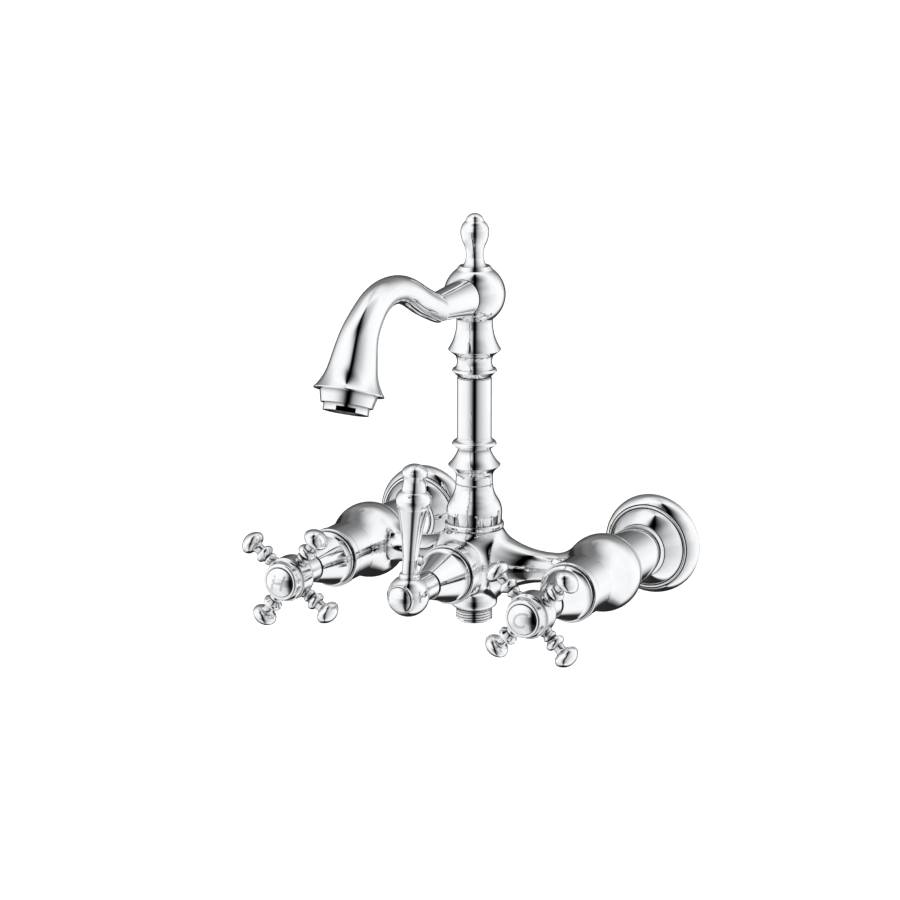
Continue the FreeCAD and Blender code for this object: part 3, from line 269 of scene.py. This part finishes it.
def arcPoints(start, end, edge):
    bend, heading = arcBend(start, end, edge)
    if abs(bend) < leastBend:
        return []
    count = max(2, math.ceil(abs(2.0 * bend) / arcStep))
    radius = math.dist(start, end) / (2.0 * math.sin(abs(bend)))
    points = []
    for step in range(1, count):
        turned = 2.0 * bend * step / count
        reach = 2.0 * radius * math.sin(abs(turned) / 2.0)
        angle = heading - bend + turned / 2.0
        points.append((start[0] + reach * math.cos(angle), start[1] + reach * math.sin(angle)))
    return points


def curved(outline):
    points = []
    for index, (radius, along, edge) in enumerate(outline):
        points.append((radius, along))
        points += arcPoints((radius, along), outline[(index + 1) % len(outline)][:2], edge)
    return points


def lathe(shape, points, place, steps, closed=True):
    verts = [shape.verts.new(place @ Vector((radius * mm, 0.0, along * mm))) for radius, along in points]
    pairs = list(zip(verts, verts[1:] + verts[:1])) if closed else list(zip(verts, verts[1:]))
    edges = [shape.edges.new(pair) for pair in pairs]
    bmesh.ops.spin(
        shape, geom=verts + edges, cent=place.translation, axis=place.to_3x3() @ Vector((0.0, 0.0, 1.0)),
        angle=math.tau, steps=steps, use_merge=True)


def newPiece(name, shape, material, body, nodes=(), crease=None):
    bmesh.ops.remove_doubles(shape, verts=shape.verts, dist=tiny)
    bmesh.ops.recalc_face_normals(shape, faces=shape.faces)
    mesh = bpy.data.meshes.new(name)
    shape.to_mesh(mesh)
    shape.free()
    mesh.polygons.foreach_set("use_smooth", [True] * len(mesh.polygons))
    if crease:
        mesh.set_sharp_from_angle(angle=math.radians(crease))
    mesh.materials.append(material)
    piece = bpy.data.objects.new(name, mesh)
    bpy.context.collection.objects.link(piece)
    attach(piece, body)
    if nodes:
        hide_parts(*nodes)
    return piece


outward = Matrix.Rotation(math.radians(90.0), 4, "X")


# hose outlet: a pipe thread wound round the nipple under the barrel
hoseOutlet = {
    "top": -26.7, "end": -34.7, "spigotTop": -18.7, "bore": 6.5, "root": 9.35, "crest": 10.478,
    "crease": 24.0, "spigot": 8.8, "lip": 0.5, "pitch": 1.55, "stepsEachTurn": 64, "turns": 4.3,
    "firstTooth": -34.0, "firstTurn": -100.0, "sink": 0.1, "land": 0.12,
    "tooth": [(-0.92, "sink"), (-0.24, "land"), (-0.12, None), (0.12, None), (0.24, "land"), (0.92, "sink")],
}


def toothRadius(kind):
    size = hoseOutlet
    if kind == "sink":
        return size["root"] - size["sink"]
    return size["crest"] - (size["land"] if kind else 0.0)


def makeHoseOutlet():
    size = hoseOutlet
    place = Matrix.Translation((0.0, -common["columnReach"] * mm, 0.0))
    shape = bmesh.new()
    lathe(shape, [
        (size["bore"], size["end"]), (size["root"] - size["lip"], size["end"]),
        (size["root"], size["end"] + size["lip"]), (size["root"], size["top"]), (size["spigot"], size["top"]),
        (size["spigot"], size["spigotTop"]), (size["bore"], size["spigotTop"])], place, size["stepsEachTurn"])
    start = place @ Matrix.Rotation(math.radians(size["firstTurn"]), 4, "Z")
    tooth = [(toothRadius(kind), size["firstTooth"] + share * size["pitch"] / 2.0)
             for share, kind in size["tooth"]]
    verts = [shape.verts.new(start @ Vector((radius * mm, 0.0, along * mm))) for radius, along in tooth]
    first = shape.faces.new(verts)
    steps = round(size["turns"] * size["stepsEachTurn"])
    rise = size["pitch"] * mm / size["stepsEachTurn"]
    bmesh.ops.spin(
        shape, geom=[first], cent=place.translation, axis=(0.0, 0.0, 1.0), dvec=(0.0, 0.0, rise),
        angle=math.tau * size["turns"], steps=steps)
    # the thread's chrome carries painted shade only close in its grooves
    thread = chrome("chromeThread", plate["threadPaintedShadeReach"])
    newPiece("hoseThread", shape, thread, "fixed", ["hose_nipple"], size["crease"])


makeHoseOutlet()
print("hose outlet threaded")

# mixer body: the turned forms of the casting flow into one skin, with soft blends where arms and barrel meet
casting = {
    "ballReach": 71.0, "ball": 22.1, "ballBlend": 2.0, "neck": 15.5, "neckFace": 2.0,
    "boss": 16.6, "bossRim": 109.1, "bossFace": 111.5, "frontBlend": 55.0,
    "armRoot": 18.6, "armRootEnd": 15.0, "armWaist": 8.6, "armWaistStart": 46.0, "armBlend": 14.0,
    "barrel": 16.6, "barrelTop": 15.9, "belly": 8.0, "topFace": 20.0, "frontWaist": 15.4,
    "outlet": [(10.9, -26.7, "arrive"), (13.3, -23.8, "line"), (13.3, -20.6, "line")],
    "overrun": 4.5, "blend": 5.0, "voxel": 1.05, "passes": 3, "feel": 0.35, "leastSlope": 1e-9,
    "cut": 1e-7, "ledge": 0.72, "around": 96,
}


def blendPoints(ball, stem, blend):
    reach = math.sqrt((ball + blend) ** 2 - (stem + blend) ** 2)
    return reach, (stem + blend) * ball / (ball + blend), reach * ball / (ball + blend)


def elbowOutline():
    size = casting
    centre = size["ballReach"]
    backStem, backRadius, backBall = blendPoints(size["ball"], size["neck"], size["ballBlend"])
    frontStem, frontRadius, frontBall = blendPoints(size["ball"], size["boss"], size["frontBlend"])
    back, front = size["neckFace"] - size["overrun"], size["bossFace"] + size["overrun"]
    return [
        (0.0, back, "line"), (size["neck"], back, "line"), (size["neck"], centre - backStem, "leave"),
        (backRadius, centre - backBall, "arrive"), (size["ball"], centre, "leave"),
        (frontRadius, centre + frontBall, "arrive"), (size["boss"], centre + frontStem, "line"),
        (size["boss"], front, "line"), (0.0, front, "line")]


def armOutline(length):
    size = casting
    stem, touch, reach = blendPoints(size["ball"], size["armWaist"], size["armBlend"])
    return [
        (0.0, 0.0, "line"), (size["armRoot"], 0.0, "line"), (size["armRoot"], size["armRootEnd"], "arrive"),
        (size["armWaist"], size["armWaistStart"], "line"), (size["armWaist"], length - stem, "leave"),
        (touch, length - reach, "line"), (touch, length, "line"), (0.0, length, "line")]


def barrelOutline():
    size = casting
    low, high = size["outlet"][0][1] - size["overrun"], size["topFace"] + size["overrun"]
    return [
        (0.0, low, "line"), (size["outlet"][0][0], low, "line"), *size["outlet"],
        (size["barrel"], -size["belly"], "line"), (size["barrel"], size["belly"], "leave"),
        (size["barrelTop"], size["topFace"], "line"), (size["barrelTop"], high, "line"), (0.0, high, "line")]


def frontOutline():
    size = casting
    reach, front = common["columnReach"], size["bossFace"] + size["overrun"]
    return [
        (0.0, reach, "line"), (size["frontWaist"], reach, "line"),
        (size["frontWaist"], reach + size["barrel"], "leave"), (size["boss"], size["bossRim"], "line"),
        (size["boss"], front, "line"), (0.0, front, "line")]


class Turned:
    # a turned solid that can say how far any point is from its skin, inside being less than nothing

    def __init__(self, outline, place):
        self.points = curved(outline)[:-1] + [outline[-1][:2]]
        self.place = place
        self.origin = numpy.array(place.translation) / mm
        self.axis = numpy.array(place.to_3x3() @ Vector((0.0, 0.0, 1.0)))
        self.corners = [point[:2] for point in outline]
        self.edges = [edgeOf(start, end[:2]) for start, end in zip(outline, outline[1:])]

    def away(self, spots):
        offset = spots - self.origin
        along = offset @ self.axis
        radius = numpy.sqrt(numpy.maximum((offset * offset).sum(axis=1) - along * along, 0.0))
        nearest = numpy.full(len(spots), far)
        for x, y in self.corners:
            nearest = numpy.minimum(nearest, numpy.hypot(radius - x, along - y))
        for edge in self.edges:
            nearest = numpy.minimum(nearest, edge(radius, along))
        outside = numpy.ones(len(spots), dtype=bool)
        for (x1, y1), (x2, y2) in zip(self.points, self.points[1:] + self.points[:1]):
            if y1 != y2:
                wall = (x2 - x1) * (along - y1) / (y2 - y1) + x1
                outside ^= ((y1 > along) != (y2 > along)) & (radius < wall)
        return numpy.where(outside, nearest, -nearest)


def edgeOf(start, end):
    across, along = end[0] - start[0], end[1] - start[1]
    chord = math.hypot(across, along)
    bend, heading = arcBend(start[:2], end, start[2])

    def straight(radius, height):
        share = ((radius - start[0]) * across + (height - start[1]) * along) / (chord * chord)
        share = numpy.clip(share, 0.0, 1.0)
        return numpy.hypot(radius - start[0] - across * share, height - start[1] - along * share)

    if abs(bend) < leastBend:
        return straight
    turning = math.copysign(math.pi / 2.0, bend)
    size = chord / (2.0 * math.sin(abs(bend)))
    x = start[0] + size * math.cos(heading - bend + turning)
    y = start[1] + size * math.sin(heading - bend + turning)
    middle = heading - turning

    def arched(radius, height):
        angle = numpy.arctan2(height - y, radius - x) - middle
        angle = (angle + math.pi) % math.tau - math.pi
        gap = numpy.abs(numpy.hypot(radius - x, height - y) - size)
        return numpy.where(numpy.abs(angle) <= abs(bend), gap, far)

    return arched


def flow(first, second, blend):
    share = numpy.clip(0.5 + 0.5 * (second - first) / blend, 0.0, 1.0)
    return second + (first - second) * share - blend * share * (1.0 - share)


def castingShells():
    column = Vector((0.0, -common["columnReach"], 0.0)) * mm
    shells = {
        "barrel": Turned(barrelOutline(), Matrix.Translation(column)),
        "front": Turned(frontOutline(), outward),
    }
    for side, x in common["sides"].items():
        elbow = Matrix.Translation((x * mm, 0.0, 0.0)) @ outward
        shells[f"{side}Elbow"] = Turned(elbowOutline(), elbow)
        run = Vector((x, common["columnReach"] - casting["ballReach"], 0.0))
        turn = run.to_track_quat("Z", "Y").to_matrix().to_4x4()
        shells[f"{side}Arm"] = Turned(armOutline(run.length), Matrix.Translation(column) @ turn)
    return shells


def castingSkin(shells, spots):
    gaps = {name: shell.away(spots) for name, shell in shells.items()}
    arms = numpy.minimum(gaps["hotArm"], gaps["coldArm"])
    middle = flow(flow(gaps["barrel"], gaps["front"], casting["blend"]), arms, casting["blend"])
    return numpy.minimum(middle, numpy.minimum(gaps["hotElbow"], gaps["coldElbow"]))


def castingSlope(shells, spots):
    step = casting["feel"]
    slope = numpy.stack([castingSkin(shells, spots + step * way) - castingSkin(shells, spots - step * way)
                         for way in numpy.eye(3)], axis=1)
    return slope / numpy.maximum(numpy.linalg.norm(slope, axis=1, keepdims=True), casting["leastSlope"])


def trimmed(shape, spot, way, near):
    chosen = [vert for vert in shape.verts if near(vert.co)]
    faces = [face for face in shape.faces if all(near(vert.co) for vert in face.verts)]
    edges = list({edge for face in faces for edge in face.edges})
    bmesh.ops.bisect_plane(
        shape, geom=chosen + edges + faces, dist=casting["cut"],
        plane_co=spot, plane_no=way, clear_outer=True)


def makeCasting():
    size = casting
    shells = castingShells()
    shape = bmesh.new()
    for shell in shells.values():
        lathe(shape, shell.points, shell.place, size["around"], closed=False)
    bmesh.ops.remove_doubles(shape, verts=shape.verts, dist=tiny)
    bmesh.ops.recalc_face_normals(shape, faces=shape.faces)
    rough = bpy.data.meshes.new("castingRough")
    shape.to_mesh(rough)
    shape.free()
    block = bpy.data.objects.new("castingRough", rough)
    bpy.context.collection.objects.link(block)
    weld = block.modifiers.new("weld", "REMESH")
    weld.mode = "VOXEL"
    weld.voxel_size = size["voxel"] * mm
    bpy.context.view_layer.update()
    welded = bpy.data.meshes.new_from_object(block.evaluated_get(bpy.context.evaluated_depsgraph_get()))
    bpy.data.objects.remove(block)
    spots = numpy.empty(len(welded.vertices) * 3)
    welded.vertices.foreach_get("co", spots)
    spots = spots.reshape(-1, 3) / mm
    for _ in range(size["passes"]):
        spots = spots - castingSlope(shells, spots) * castingSkin(shells, spots)[:, None]
    welded.vertices.foreach_set("co", (spots * mm).ravel())
    shape = bmesh.new()
    shape.from_mesh(welded)
    mark = shape.faces.layers.int.new("ledge")
    half = common["sides"]["cold"] * mm
    centre = half / 2.0
    trimmed(shape, (0.0, -size["bossFace"] * mm, 0.0), (0.0, -1.0, 0.0), lambda spot: True)
    trimmed(shape, (0.0, -size["neckFace"] * mm, 0.0), (0.0, 1.0, 0.0), lambda spot: True)
    trimmed(shape, (0.0, 0.0, size["topFace"] * mm), (0.0, 0.0, 1.0), lambda spot: abs(spot.x) < centre)
    trimmed(shape, (0.0, 0.0, size["outlet"][0][1] * mm), (0.0, 0.0, -1.0), lambda spot: abs(spot.x) < centre)
    rims = [edge for edge in shape.edges if edge.is_boundary]
    grown = bmesh.ops.extrude_edge_only(shape, edges=rims)["geom"]
    inner = [item for item in grown if isinstance(item, bmesh.types.BMVert)]
    ledge = {face for vert in inner for face in vert.link_faces}
    for vert in inner:
        upright = min(abs(vert.co.y + size[face] * mm) for face in ("bossFace", "neckFace")) < tiny
        if upright:
            hub = Vector((round(vert.co.x / half) * half, vert.co.y, 0.0))
        else:
            hub = Vector((0.0, -common["columnReach"] * mm, vert.co.z))
        vert.co = hub + (vert.co - hub) * size["ledge"]
    for face in ledge:
        face[mark] = 1
    piece = newPiece(
        "castBody", shape, finishes["chrome_body"], "fixed", ["mixer_body"])
    mesh = piece.data
    spots = numpy.empty(len(mesh.vertices) * 3)
    mesh.vertices.foreach_get("co", spots)
    slopes = castingSlope(shells, spots.reshape(-1, 3) / mm)
    flats = [item.value for item in mesh.attributes["ledge"].data]
    normals = [None] * len(mesh.loops)
    for face in mesh.polygons:
        for loop in face.loop_indices:
            slope = slopes[mesh.loops[loop].vertex_index]
            normals[loop] = tuple(face.normal) if flats[face.index] else tuple(slope)
    mesh.normals_split_custom_set(normals)
    mesh.attributes.remove(mesh.attributes["ledge"])
    print("casting skin", len(mesh.vertices), "points")


makeCasting()

# letters on the domed caps, H over the hot tap and C over the cold one, a little proud of the dome
letters = {
    "height": 12.6, "slant": 0.3, "proud": 0.06, "depth": 0.3, "dome": 15.7, "crown": 14.2, "crease": 32.0,
    "curveSteps": 6, "cuts": 2,
    "taps": {"H": "hot", "C": "cold"},
    "dark": (0.52, 0.53, 0.54, 1.0), "light": (0.68, 0.69, 0.70, 1.0), "rough": 0.3, "roughSpread": 0.12,
    "grainScale": 2600.0, "grain": 0.25, "grainDepth": 0.0002,
}


def etched():
    material, tree = newMaterial("etchedLetter")
    place = addNode(tree, "ShaderNodeTexCoord", output=3)
    grain = addNode(tree, "ShaderNodeTexNoise", Vector=place, Scale=letters["grainScale"], Detail=3.0)
    tone = addNode(
        tree, "ShaderNodeMix", {"data_type": "RGBA"}, output=2,
        i0=grain, i6=letters["dark"], i7=letters["light"])
    bump = addNode(
        tree, "ShaderNodeBump", Strength=letters["grain"], Distance=letters["grainDepth"], Height=grain)
    rough = grain * letters["roughSpread"] + letters["rough"]
    skin(tree, Base_Color=tone, Metallic=1.0, Roughness=rough, Normal=bump)
    return material


def makeLetters():
    material = etched()
    for letter, side in letters["taps"].items():
        curve = bpy.data.curves.new(f"letter{letter}", "FONT")
        curve.body = letter
        curve.size = letters["height"] * mm
        curve.shear = letters["slant"]
        curve.align_x = "CENTER"
        curve.align_y = "CENTER"
        curve.resolution_u = letters["curveSteps"]
        text = bpy.data.objects.new(f"letter{letter}", curve)
        bpy.context.collection.objects.link(text)
        flat = bpy.data.meshes.new_from_object(text)
        bpy.data.objects.remove(text)
        shape = bmesh.new()
        shape.from_mesh(flat)
        bmesh.ops.triangulate(shape, faces=shape.faces)
        bmesh.ops.subdivide_edges(shape, edges=shape.edges, cuts=letters["cuts"], use_grid_fill=True)
        dome = letters["dome"] * mm
        top = (common["handlePlane"] + letters["crown"] + letters["proud"]) * mm
        across = [vert.co.x for vert in shape.verts]
        up = [vert.co.y for vert in shape.verts]
        middle = ((min(across) + max(across)) / 2.0, (min(up) + max(up)) / 2.0)
        for vert in shape.verts:
            spread, rise = vert.co.x - middle[0], vert.co.y - middle[1]
            drop = dome - math.sqrt(dome * dome - spread * spread - rise * rise)
            vert.co = (common["sides"][side] * mm + spread, -(top - drop), rise)
        grown = bmesh.ops.extrude_face_region(shape, geom=shape.faces[:])["geom"]
        below = [item for item in grown if isinstance(item, bmesh.types.BMVert)]
        bmesh.ops.translate(shape, verts=below, vec=(0.0, letters["depth"] * mm, 0.0))
        newPiece(f"letter{letter}", shape, material, f"{side}_handle", crease=letters["crease"])


makeLetters()
print("letters laid on the caps")

# wall flanges: a broad rounded rim, a bead and a bell that closes on the inlet neck
wallFlange = {
    "around": 160, "crease": 28.0,
    "outline": [(28.9, 0.0, "arrive"), (29.2, 1.2, "leave"), (25.1, 9.6, "line"), (24.8, 9.2, "line"),
                (24.5, 9.8, 0.42), (23.3, 10.7, "line"), (22.9, 10.3, "line"), (22.7, 11.0, 0.07),
                (15.9, 19.7, "line"), (15.8, 19.8, "line"), (15.55, 19.8, "line"),
                (15.55, 13.4, "line"), (17.8, 13.2, "line"), (27.0, 2.2, "line"), (27.0, 0.0, "line")],
}


def makeFlanges():
    for side, x in common["sides"].items():
        shape = bmesh.new()
        place = Matrix.Translation((x * mm, 0.0, 0.0)) @ outward
        lathe(shape, curved(wallFlange["outline"]), place, wallFlange["around"])
        newPiece(
            f"{side}Flange", shape, finishes["chrome_trim"], "fixed",
            [f"{side}_wall_flange"], wallFlange["crease"])


makeFlanges()
print("wall flanges turned")

# lever cap: a dome inside a rounded bezel
leverCap = {
    "around": 128, "crease": 28.0,
    "outline": [(0.0, 7.59, "line"), (5.15, 7.59, "line"), (5.15, 8.4, "line"), (8.0, 8.4, "line"),
                (8.0, 9.0, "leave"), (7.3, 10.1, "line"), (7.0, 9.9, "line"), (6.9, 10.7, "close"),
                (0.0, 13.49, "line")],
}


def makeLeverCap():
    shape = bmesh.new()
    place = Matrix.Translation((0.0, -common["handlePlane"] * mm, 0.0)) @ outward
    lathe(shape, curved(leverCap["outline"]), place, leverCap["around"], closed=False)
    newPiece(
        "leverCap", shape, finishes["chrome_lever"], "diverter",
        ["lever_hub_cap"], leverCap["crease"])


makeLeverCap()

# arms of the cross handles: a ball, a waist, a collar and a domed mushroom end, four to a handle
crossArm = {
    "seat": 10.6, "reach": 24.0, "knob": 7.1, "peg": 1.9, "pegEnd": 7.6, "around": 72, "crease": 28.0,
    "shares": [(0.52, 0.0, "line"), (0.52, 0.09, "line"), (0.42, 0.12, "line"), (0.56, 0.2, "leave"),
               (0.4, 0.26, "line"), (0.75, 0.35, "arrive"), (0.76, 0.39, "leave"), (0.42, 0.48, "line"),
               (0.42, 0.57, "leave"), (0.57, 0.645, "arrive"), (1.0, 0.79, "line"), (1.0, 0.81, "close")],
    "firstTurn": {"hot": 54.7, "cold": 45.0}, "count": 4,
}


def makeArms():
    size = crossArm
    outline = [
        (0.0, size["pegEnd"], "line"), (size["peg"], size["pegEnd"], "line"),
        (size["peg"], size["seat"], "line")]
    outline += [(share * size["knob"], size["seat"] + along * size["reach"], edge)
                for share, along, edge in size["shares"]]
    end = (0.0, size["seat"] + size["reach"])
    points = curved(outline + [(*end, "line")])[:-1] + [end]
    for side, x in common["sides"].items():
        shape = bmesh.new()
        for arm in range(size["count"]):
            angle = math.radians(size["firstTurn"][side]) + math.tau * arm / size["count"]
            way = Vector((math.cos(angle), 0.0, math.sin(angle)))
            turn = way.to_track_quat("Z", "Y").to_matrix().to_4x4()
            place = Matrix.Translation((x * mm, -common["handlePlane"] * mm, 0.0)) @ turn
            lathe(shape, points, place, size["around"], closed=False)
        body = f"{side}_handle"
        newPiece(
            f"{side}Arms", shape, finishes["chrome_handle"], body,
            [f"{body}_arms"], size["crease"])


makeArms()
print("lever cap and cross arms turned")

# swan-neck spout: a stub out of the ball, a neck of round sections that flares into the mouth and a collar
spoutNeck = {
    "height": 154.2, "stubStart": 92.0, "stubEntry": 96.83, "stubRadius": 10.4, "kink": 129.0, "seam": 1.0,
    "tuck": 4.0, "tuckShare": 0.96, "radius": 7.8, "swanReach": 91.0, "swanRise": 17.3,
    "sections": [(0.0, 0.0, 1.0, 24.0), (0.165, 0.345, 1.0, 27.0), (0.34, 0.79, 0.99, 22.0),
                 (0.47, 0.985, 0.98, 8.0), (0.605, 1.0, 1.0, -7.0), (0.715, 0.86, 1.05, -25.0),
                 (0.81, 0.57, 1.12, -42.0), (0.925, -0.02, 1.31, -59.0), (1.0, -0.9, 1.65, -70.0)],
    "lean": -70.0,
    "mouth": [(12.87, 0.0, -0.13), (18.6, 13.2, "line"), (18.6, 13.7, "line"), (15.3, 14.2, "line"),
              (13.8, 20.4, "line"), (11.3, 20.4, "line"), (11.3, 9.0, "line")],
    "between": 6, "around": 96, "crease": 28.0,
}


# a smooth curve through start and end, steered by the points before and after them
def through(before, start, end, after, share):
    return [
        0.5 * (2.0 * b + (c - a) * share + (2.0 * a - 5.0 * b + 4.0 * c - d) * share ** 2
               + (3.0 * b - a - 3.0 * c + d) * share ** 3)
        for a, b, c, d in zip(before, start, end, after)]


def makeSpout():
    size = spoutNeck
    shape = bmesh.new()
    stub = Matrix.Translation((0.0, 0.0, size["height"] * mm)) @ outward
    seam = size["stubRadius"] - size["seam"]
    seamEnd = size["stubEntry"] + size["seam"]
    outline = [
        (0.0, size["stubStart"]), (seam, size["stubStart"]), (seam, seamEnd), (size["stubRadius"], seamEnd)]
    outline += curved([(size["radius"], size["kink"], "close"), (0.0, size["kink"] + size["radius"], "line")])
    lathe(shape, outline, stub, size["around"], closed=False)
    rows = []
    for reach, rise, radius, lean in size["sections"]:
        rows.append((size["kink"] + size["swanReach"] * reach, size["height"] + size["swanRise"] * rise,
                     size["radius"] * radius, lean))
    lean = math.radians(size["lean"])
    start = rows[-1]
    flare = curved(size["mouth"] + [(0.0, size["mouth"][-1][1], "line")])
    tail = [(start[0] + along * math.cos(lean), start[1] + along * math.sin(lean), radius, size["lean"])
            for radius, along in flare[1:-1]]
    smooth = []
    line = rows + tail[:1]
    for index in range(len(rows) - 1):
        near = [line[max(index - 1, 0)], line[index], line[index + 1], line[min(index + 2, len(line) - 1)]]
        smooth += [through(*near, step / size["between"]) for step in range(size["between"])]
    rise = math.radians(rows[0][3])
    inside = (rows[0][0] - size["tuck"] * math.cos(rise), rows[0][1] - size["tuck"] * math.sin(rise),
              rows[0][2] * size["tuckShare"], rows[0][3])
    before = None
    for reach, height, radius, slope in [inside] + smooth + [start] + tail:
        turn = Matrix.Rotation(math.radians(90.0 - slope), 4, "X")
        place = Matrix.Translation((0.0, -reach * mm, height * mm)) @ turn
        ring = bmesh.ops.create_circle(shape, segments=size["around"], radius=radius * mm, matrix=place)
        edges = list({edge for vert in ring["verts"] for edge in vert.link_edges})
        if before:
            bmesh.ops.bridge_loops(shape, edges=before + edges)
        else:
            bmesh.ops.contextual_create(shape, geom=edges)
        before = edges
    bmesh.ops.contextual_create(shape, geom=before)
    newPiece(
        "swanNeck", shape, finishes["chrome_spout"], "spout", ["spout_neck"], size["crease"])


makeSpout()
print("swan neck bridged")

# pale floor far below, as the mixer hangs on a wall
stageSizes = {
    "low": -0.16, "reach": 6.0, "glow": 0.55, "rough": 0.9, "cloudScale": 2.0,
    "dark": (0.93, 0.93, 0.93, 1.0), "light": (0.96, 0.96, 0.96, 1.0),
}


def makeFloor():
    shape = bmesh.new()
    bmesh.ops.create_grid(shape, x_segments=2, y_segments=2, size=stageSizes["reach"])
    bmesh.ops.translate(shape, verts=shape.verts, vec=(0.0, 0.0, stageSizes["low"]))
    mesh = bpy.data.meshes.new("paleFloor")
    shape.to_mesh(mesh)
    shape.free()
    material, tree = newMaterial("paleFloor")
    place = addNode(tree, "ShaderNodeTexCoord", output=3)
    cloud = addNode(tree, "ShaderNodeTexNoise", Vector=place, Scale=stageSizes["cloudScale"], Detail=2.0)
    tone = addNode(
        tree, "ShaderNodeMix", {"data_type": "RGBA"}, output=2,
        i0=cloud, i6=stageSizes["dark"], i7=stageSizes["light"])
    skin(
        tree, Base_Color=tone, Roughness=stageSizes["rough"],
        Emission_Color=tone, Emission_Strength=stageSizes["glow"])
    mesh.materials.append(material)
    floor = bpy.data.objects.new("paleFloor", mesh)
    bpy.context.collection.objects.link(floor)
    floor.visible_glossy = False


makeFloor()

# studio round the object: brightness by the turn from the camera's side (degrees), in five rings by height
studio = {
    "toCamera": (0.4656, -0.885),
    "upper": [(-180, 0.18), (-164, 0.2), (-147, 0.33), (-128, 0.64), (-106, 0.94), (-90, 1.0), (-45, 1.0),
              (-24, 0.85), (-14, 0.45), (-8, 0.04), (-4, 0.0), (5, 0.0), (12, 0.08), (22, 0.26), (38, 0.5),
              (74, 0.9), (96, 1.0), (110, 0.95), (129, 0.68), (147, 0.33), (164, 0.2), (180, 0.18)],
    "belt": [(-180, 0.08), (-165, 0.1), (-150, 0.22), (-132, 0.66), (-114, 0.95), (-60, 1.0), (-40, 0.95),
             (-22, 0.8), (-13, 0.4), (-8, 0.05), (-4, 0.0), (4, 0.0), (9, 0.05), (18, 0.3), (36, 0.62),
             (70, 0.92), (112, 1.0), (126, 0.9), (138, 0.6), (150, 0.24), (165, 0.1), (180, 0.08)],
    "middle": [(-180, 0.02), (-150, 0.03), (-139, 0.88), (-112, 1.0), (-60, 0.92), (-42, 0.75), (-30, 0.52),
               (-18, 0.24), (-11, 0.05), (-5, 0.0), (5, 0.0), (11, 0.05), (18, 0.26), (30, 0.48), (48, 0.66),
               (66, 0.8), (90, 0.94), (112, 1.0), (130, 0.95), (141, 0.5), (149, 0.03), (180, 0.02)],
    "lower": [(-180, 0.02), (-152, 0.05), (-135, 0.4), (-110, 0.75), (-60, 0.85), (-24, 0.65), (-12, 0.15),
              (-5, 0.02), (5, 0.02), (12, 0.15), (24, 0.5), (60, 0.84), (90, 0.95), (114, 0.95), (130, 0.8),
              (142, 0.25), (152, 0.02), (180, 0.02)],
    "overhead": [(-180, 0.6), (-140, 0.9), (-100, 1.0), (-70, 0.95), (-50, 0.76), (-34, 0.36), (-22, 0.05),
                 (-10, 0.0), (12, 0.0), (28, 0.08), (48, 0.3), (76, 0.64), (104, 0.95), (140, 0.9),
                 (180, 0.6)],
    "steps": [(-0.62, -0.36), (-0.04, 0.1), (0.22, 0.52), (0.66, 0.92)],  # sines of height between the rings
    "strength": 1.15,
}


def ringShade(tree, turn, stops):
    places = [((angle + 180.0) / 360.0, shade) for angle, shade in stops]
    return addNode(tree, "ShaderNodeValToRGB", {"stops": places}, Fac=turn)


def makeStudio():
    world = bpy.data.worlds.new("studio")
    bpy.context.scene.world = world
    world.use_nodes = True
    tree = world.node_tree
    tree.nodes.clear()
    way = addNode(tree, "ShaderNodeTexCoord", output=0)
    x, y, z = (addNode(tree, "ShaderNodeSeparateXYZ", output=index, Vector=way) for index in range(3))
    ahead, aside = studio["toCamera"]
    front = x * ahead + y * aside
    side = x * -aside + y * ahead
    turn = side.math("ARCTAN2", front) / math.tau + 0.5
    room = ringShade(tree, turn, studio["lower"])
    for (low, high), ring in zip(studio["steps"], ("middle", "belt", "upper", "overhead")):
        share = addNode(tree, "ShaderNodeMapRange", {"interpolation_type": "SMOOTHSTEP"}, Value=z,
                        From_Min=low, From_Max=high)
        room = addNode(tree, "ShaderNodeMix", {"data_type": "RGBA"}, output=2,
                       i0=share, i6=room, i7=ringShade(tree, turn, studio[ring]))
    glow = addNode(tree, "ShaderNodeBackground", Color=room, Strength=studio["strength"])
    plain = addNode(tree, "ShaderNodeBackground", Color=(1.0, 1.0, 1.0, 1.0), Strength=1.0)
    seen = addNode(tree, "ShaderNodeLightPath", output=0)
    both = addNode(tree, "ShaderNodeMixShader", i0=seen, i1=glow, i2=plain)
    addNode(tree, "ShaderNodeOutputWorld", Surface=both)


makeStudio()

shot = {
    "eye": (0.71771, -1.47665, 0.44660),
    "right": (0.88499, 0.46561, 0.0),
    "up": (-0.11020, 0.20945, 0.97159),
    "back": (0.45238, -0.85985, 0.23667),
    "lens": 114.4,
    "sensor": 36.0,
}
cameraData = bpy.data.cameras.new("photoCamera")
cameraData.lens = shot["lens"]
cameraData.sensor_width = shot["sensor"]
camera = bpy.data.objects.new("photoCamera", cameraData)
bpy.context.collection.objects.link(camera)
turn = Matrix((shot["right"], shot["up"], shot["back"])).transposed().to_4x4()
camera.matrix_world = Matrix.Translation(shot["eye"]) @ turn
bpy.context.scene.camera = camera
bpy.context.scene.view_settings.view_transform = "Standard"
print("studio and camera ready")
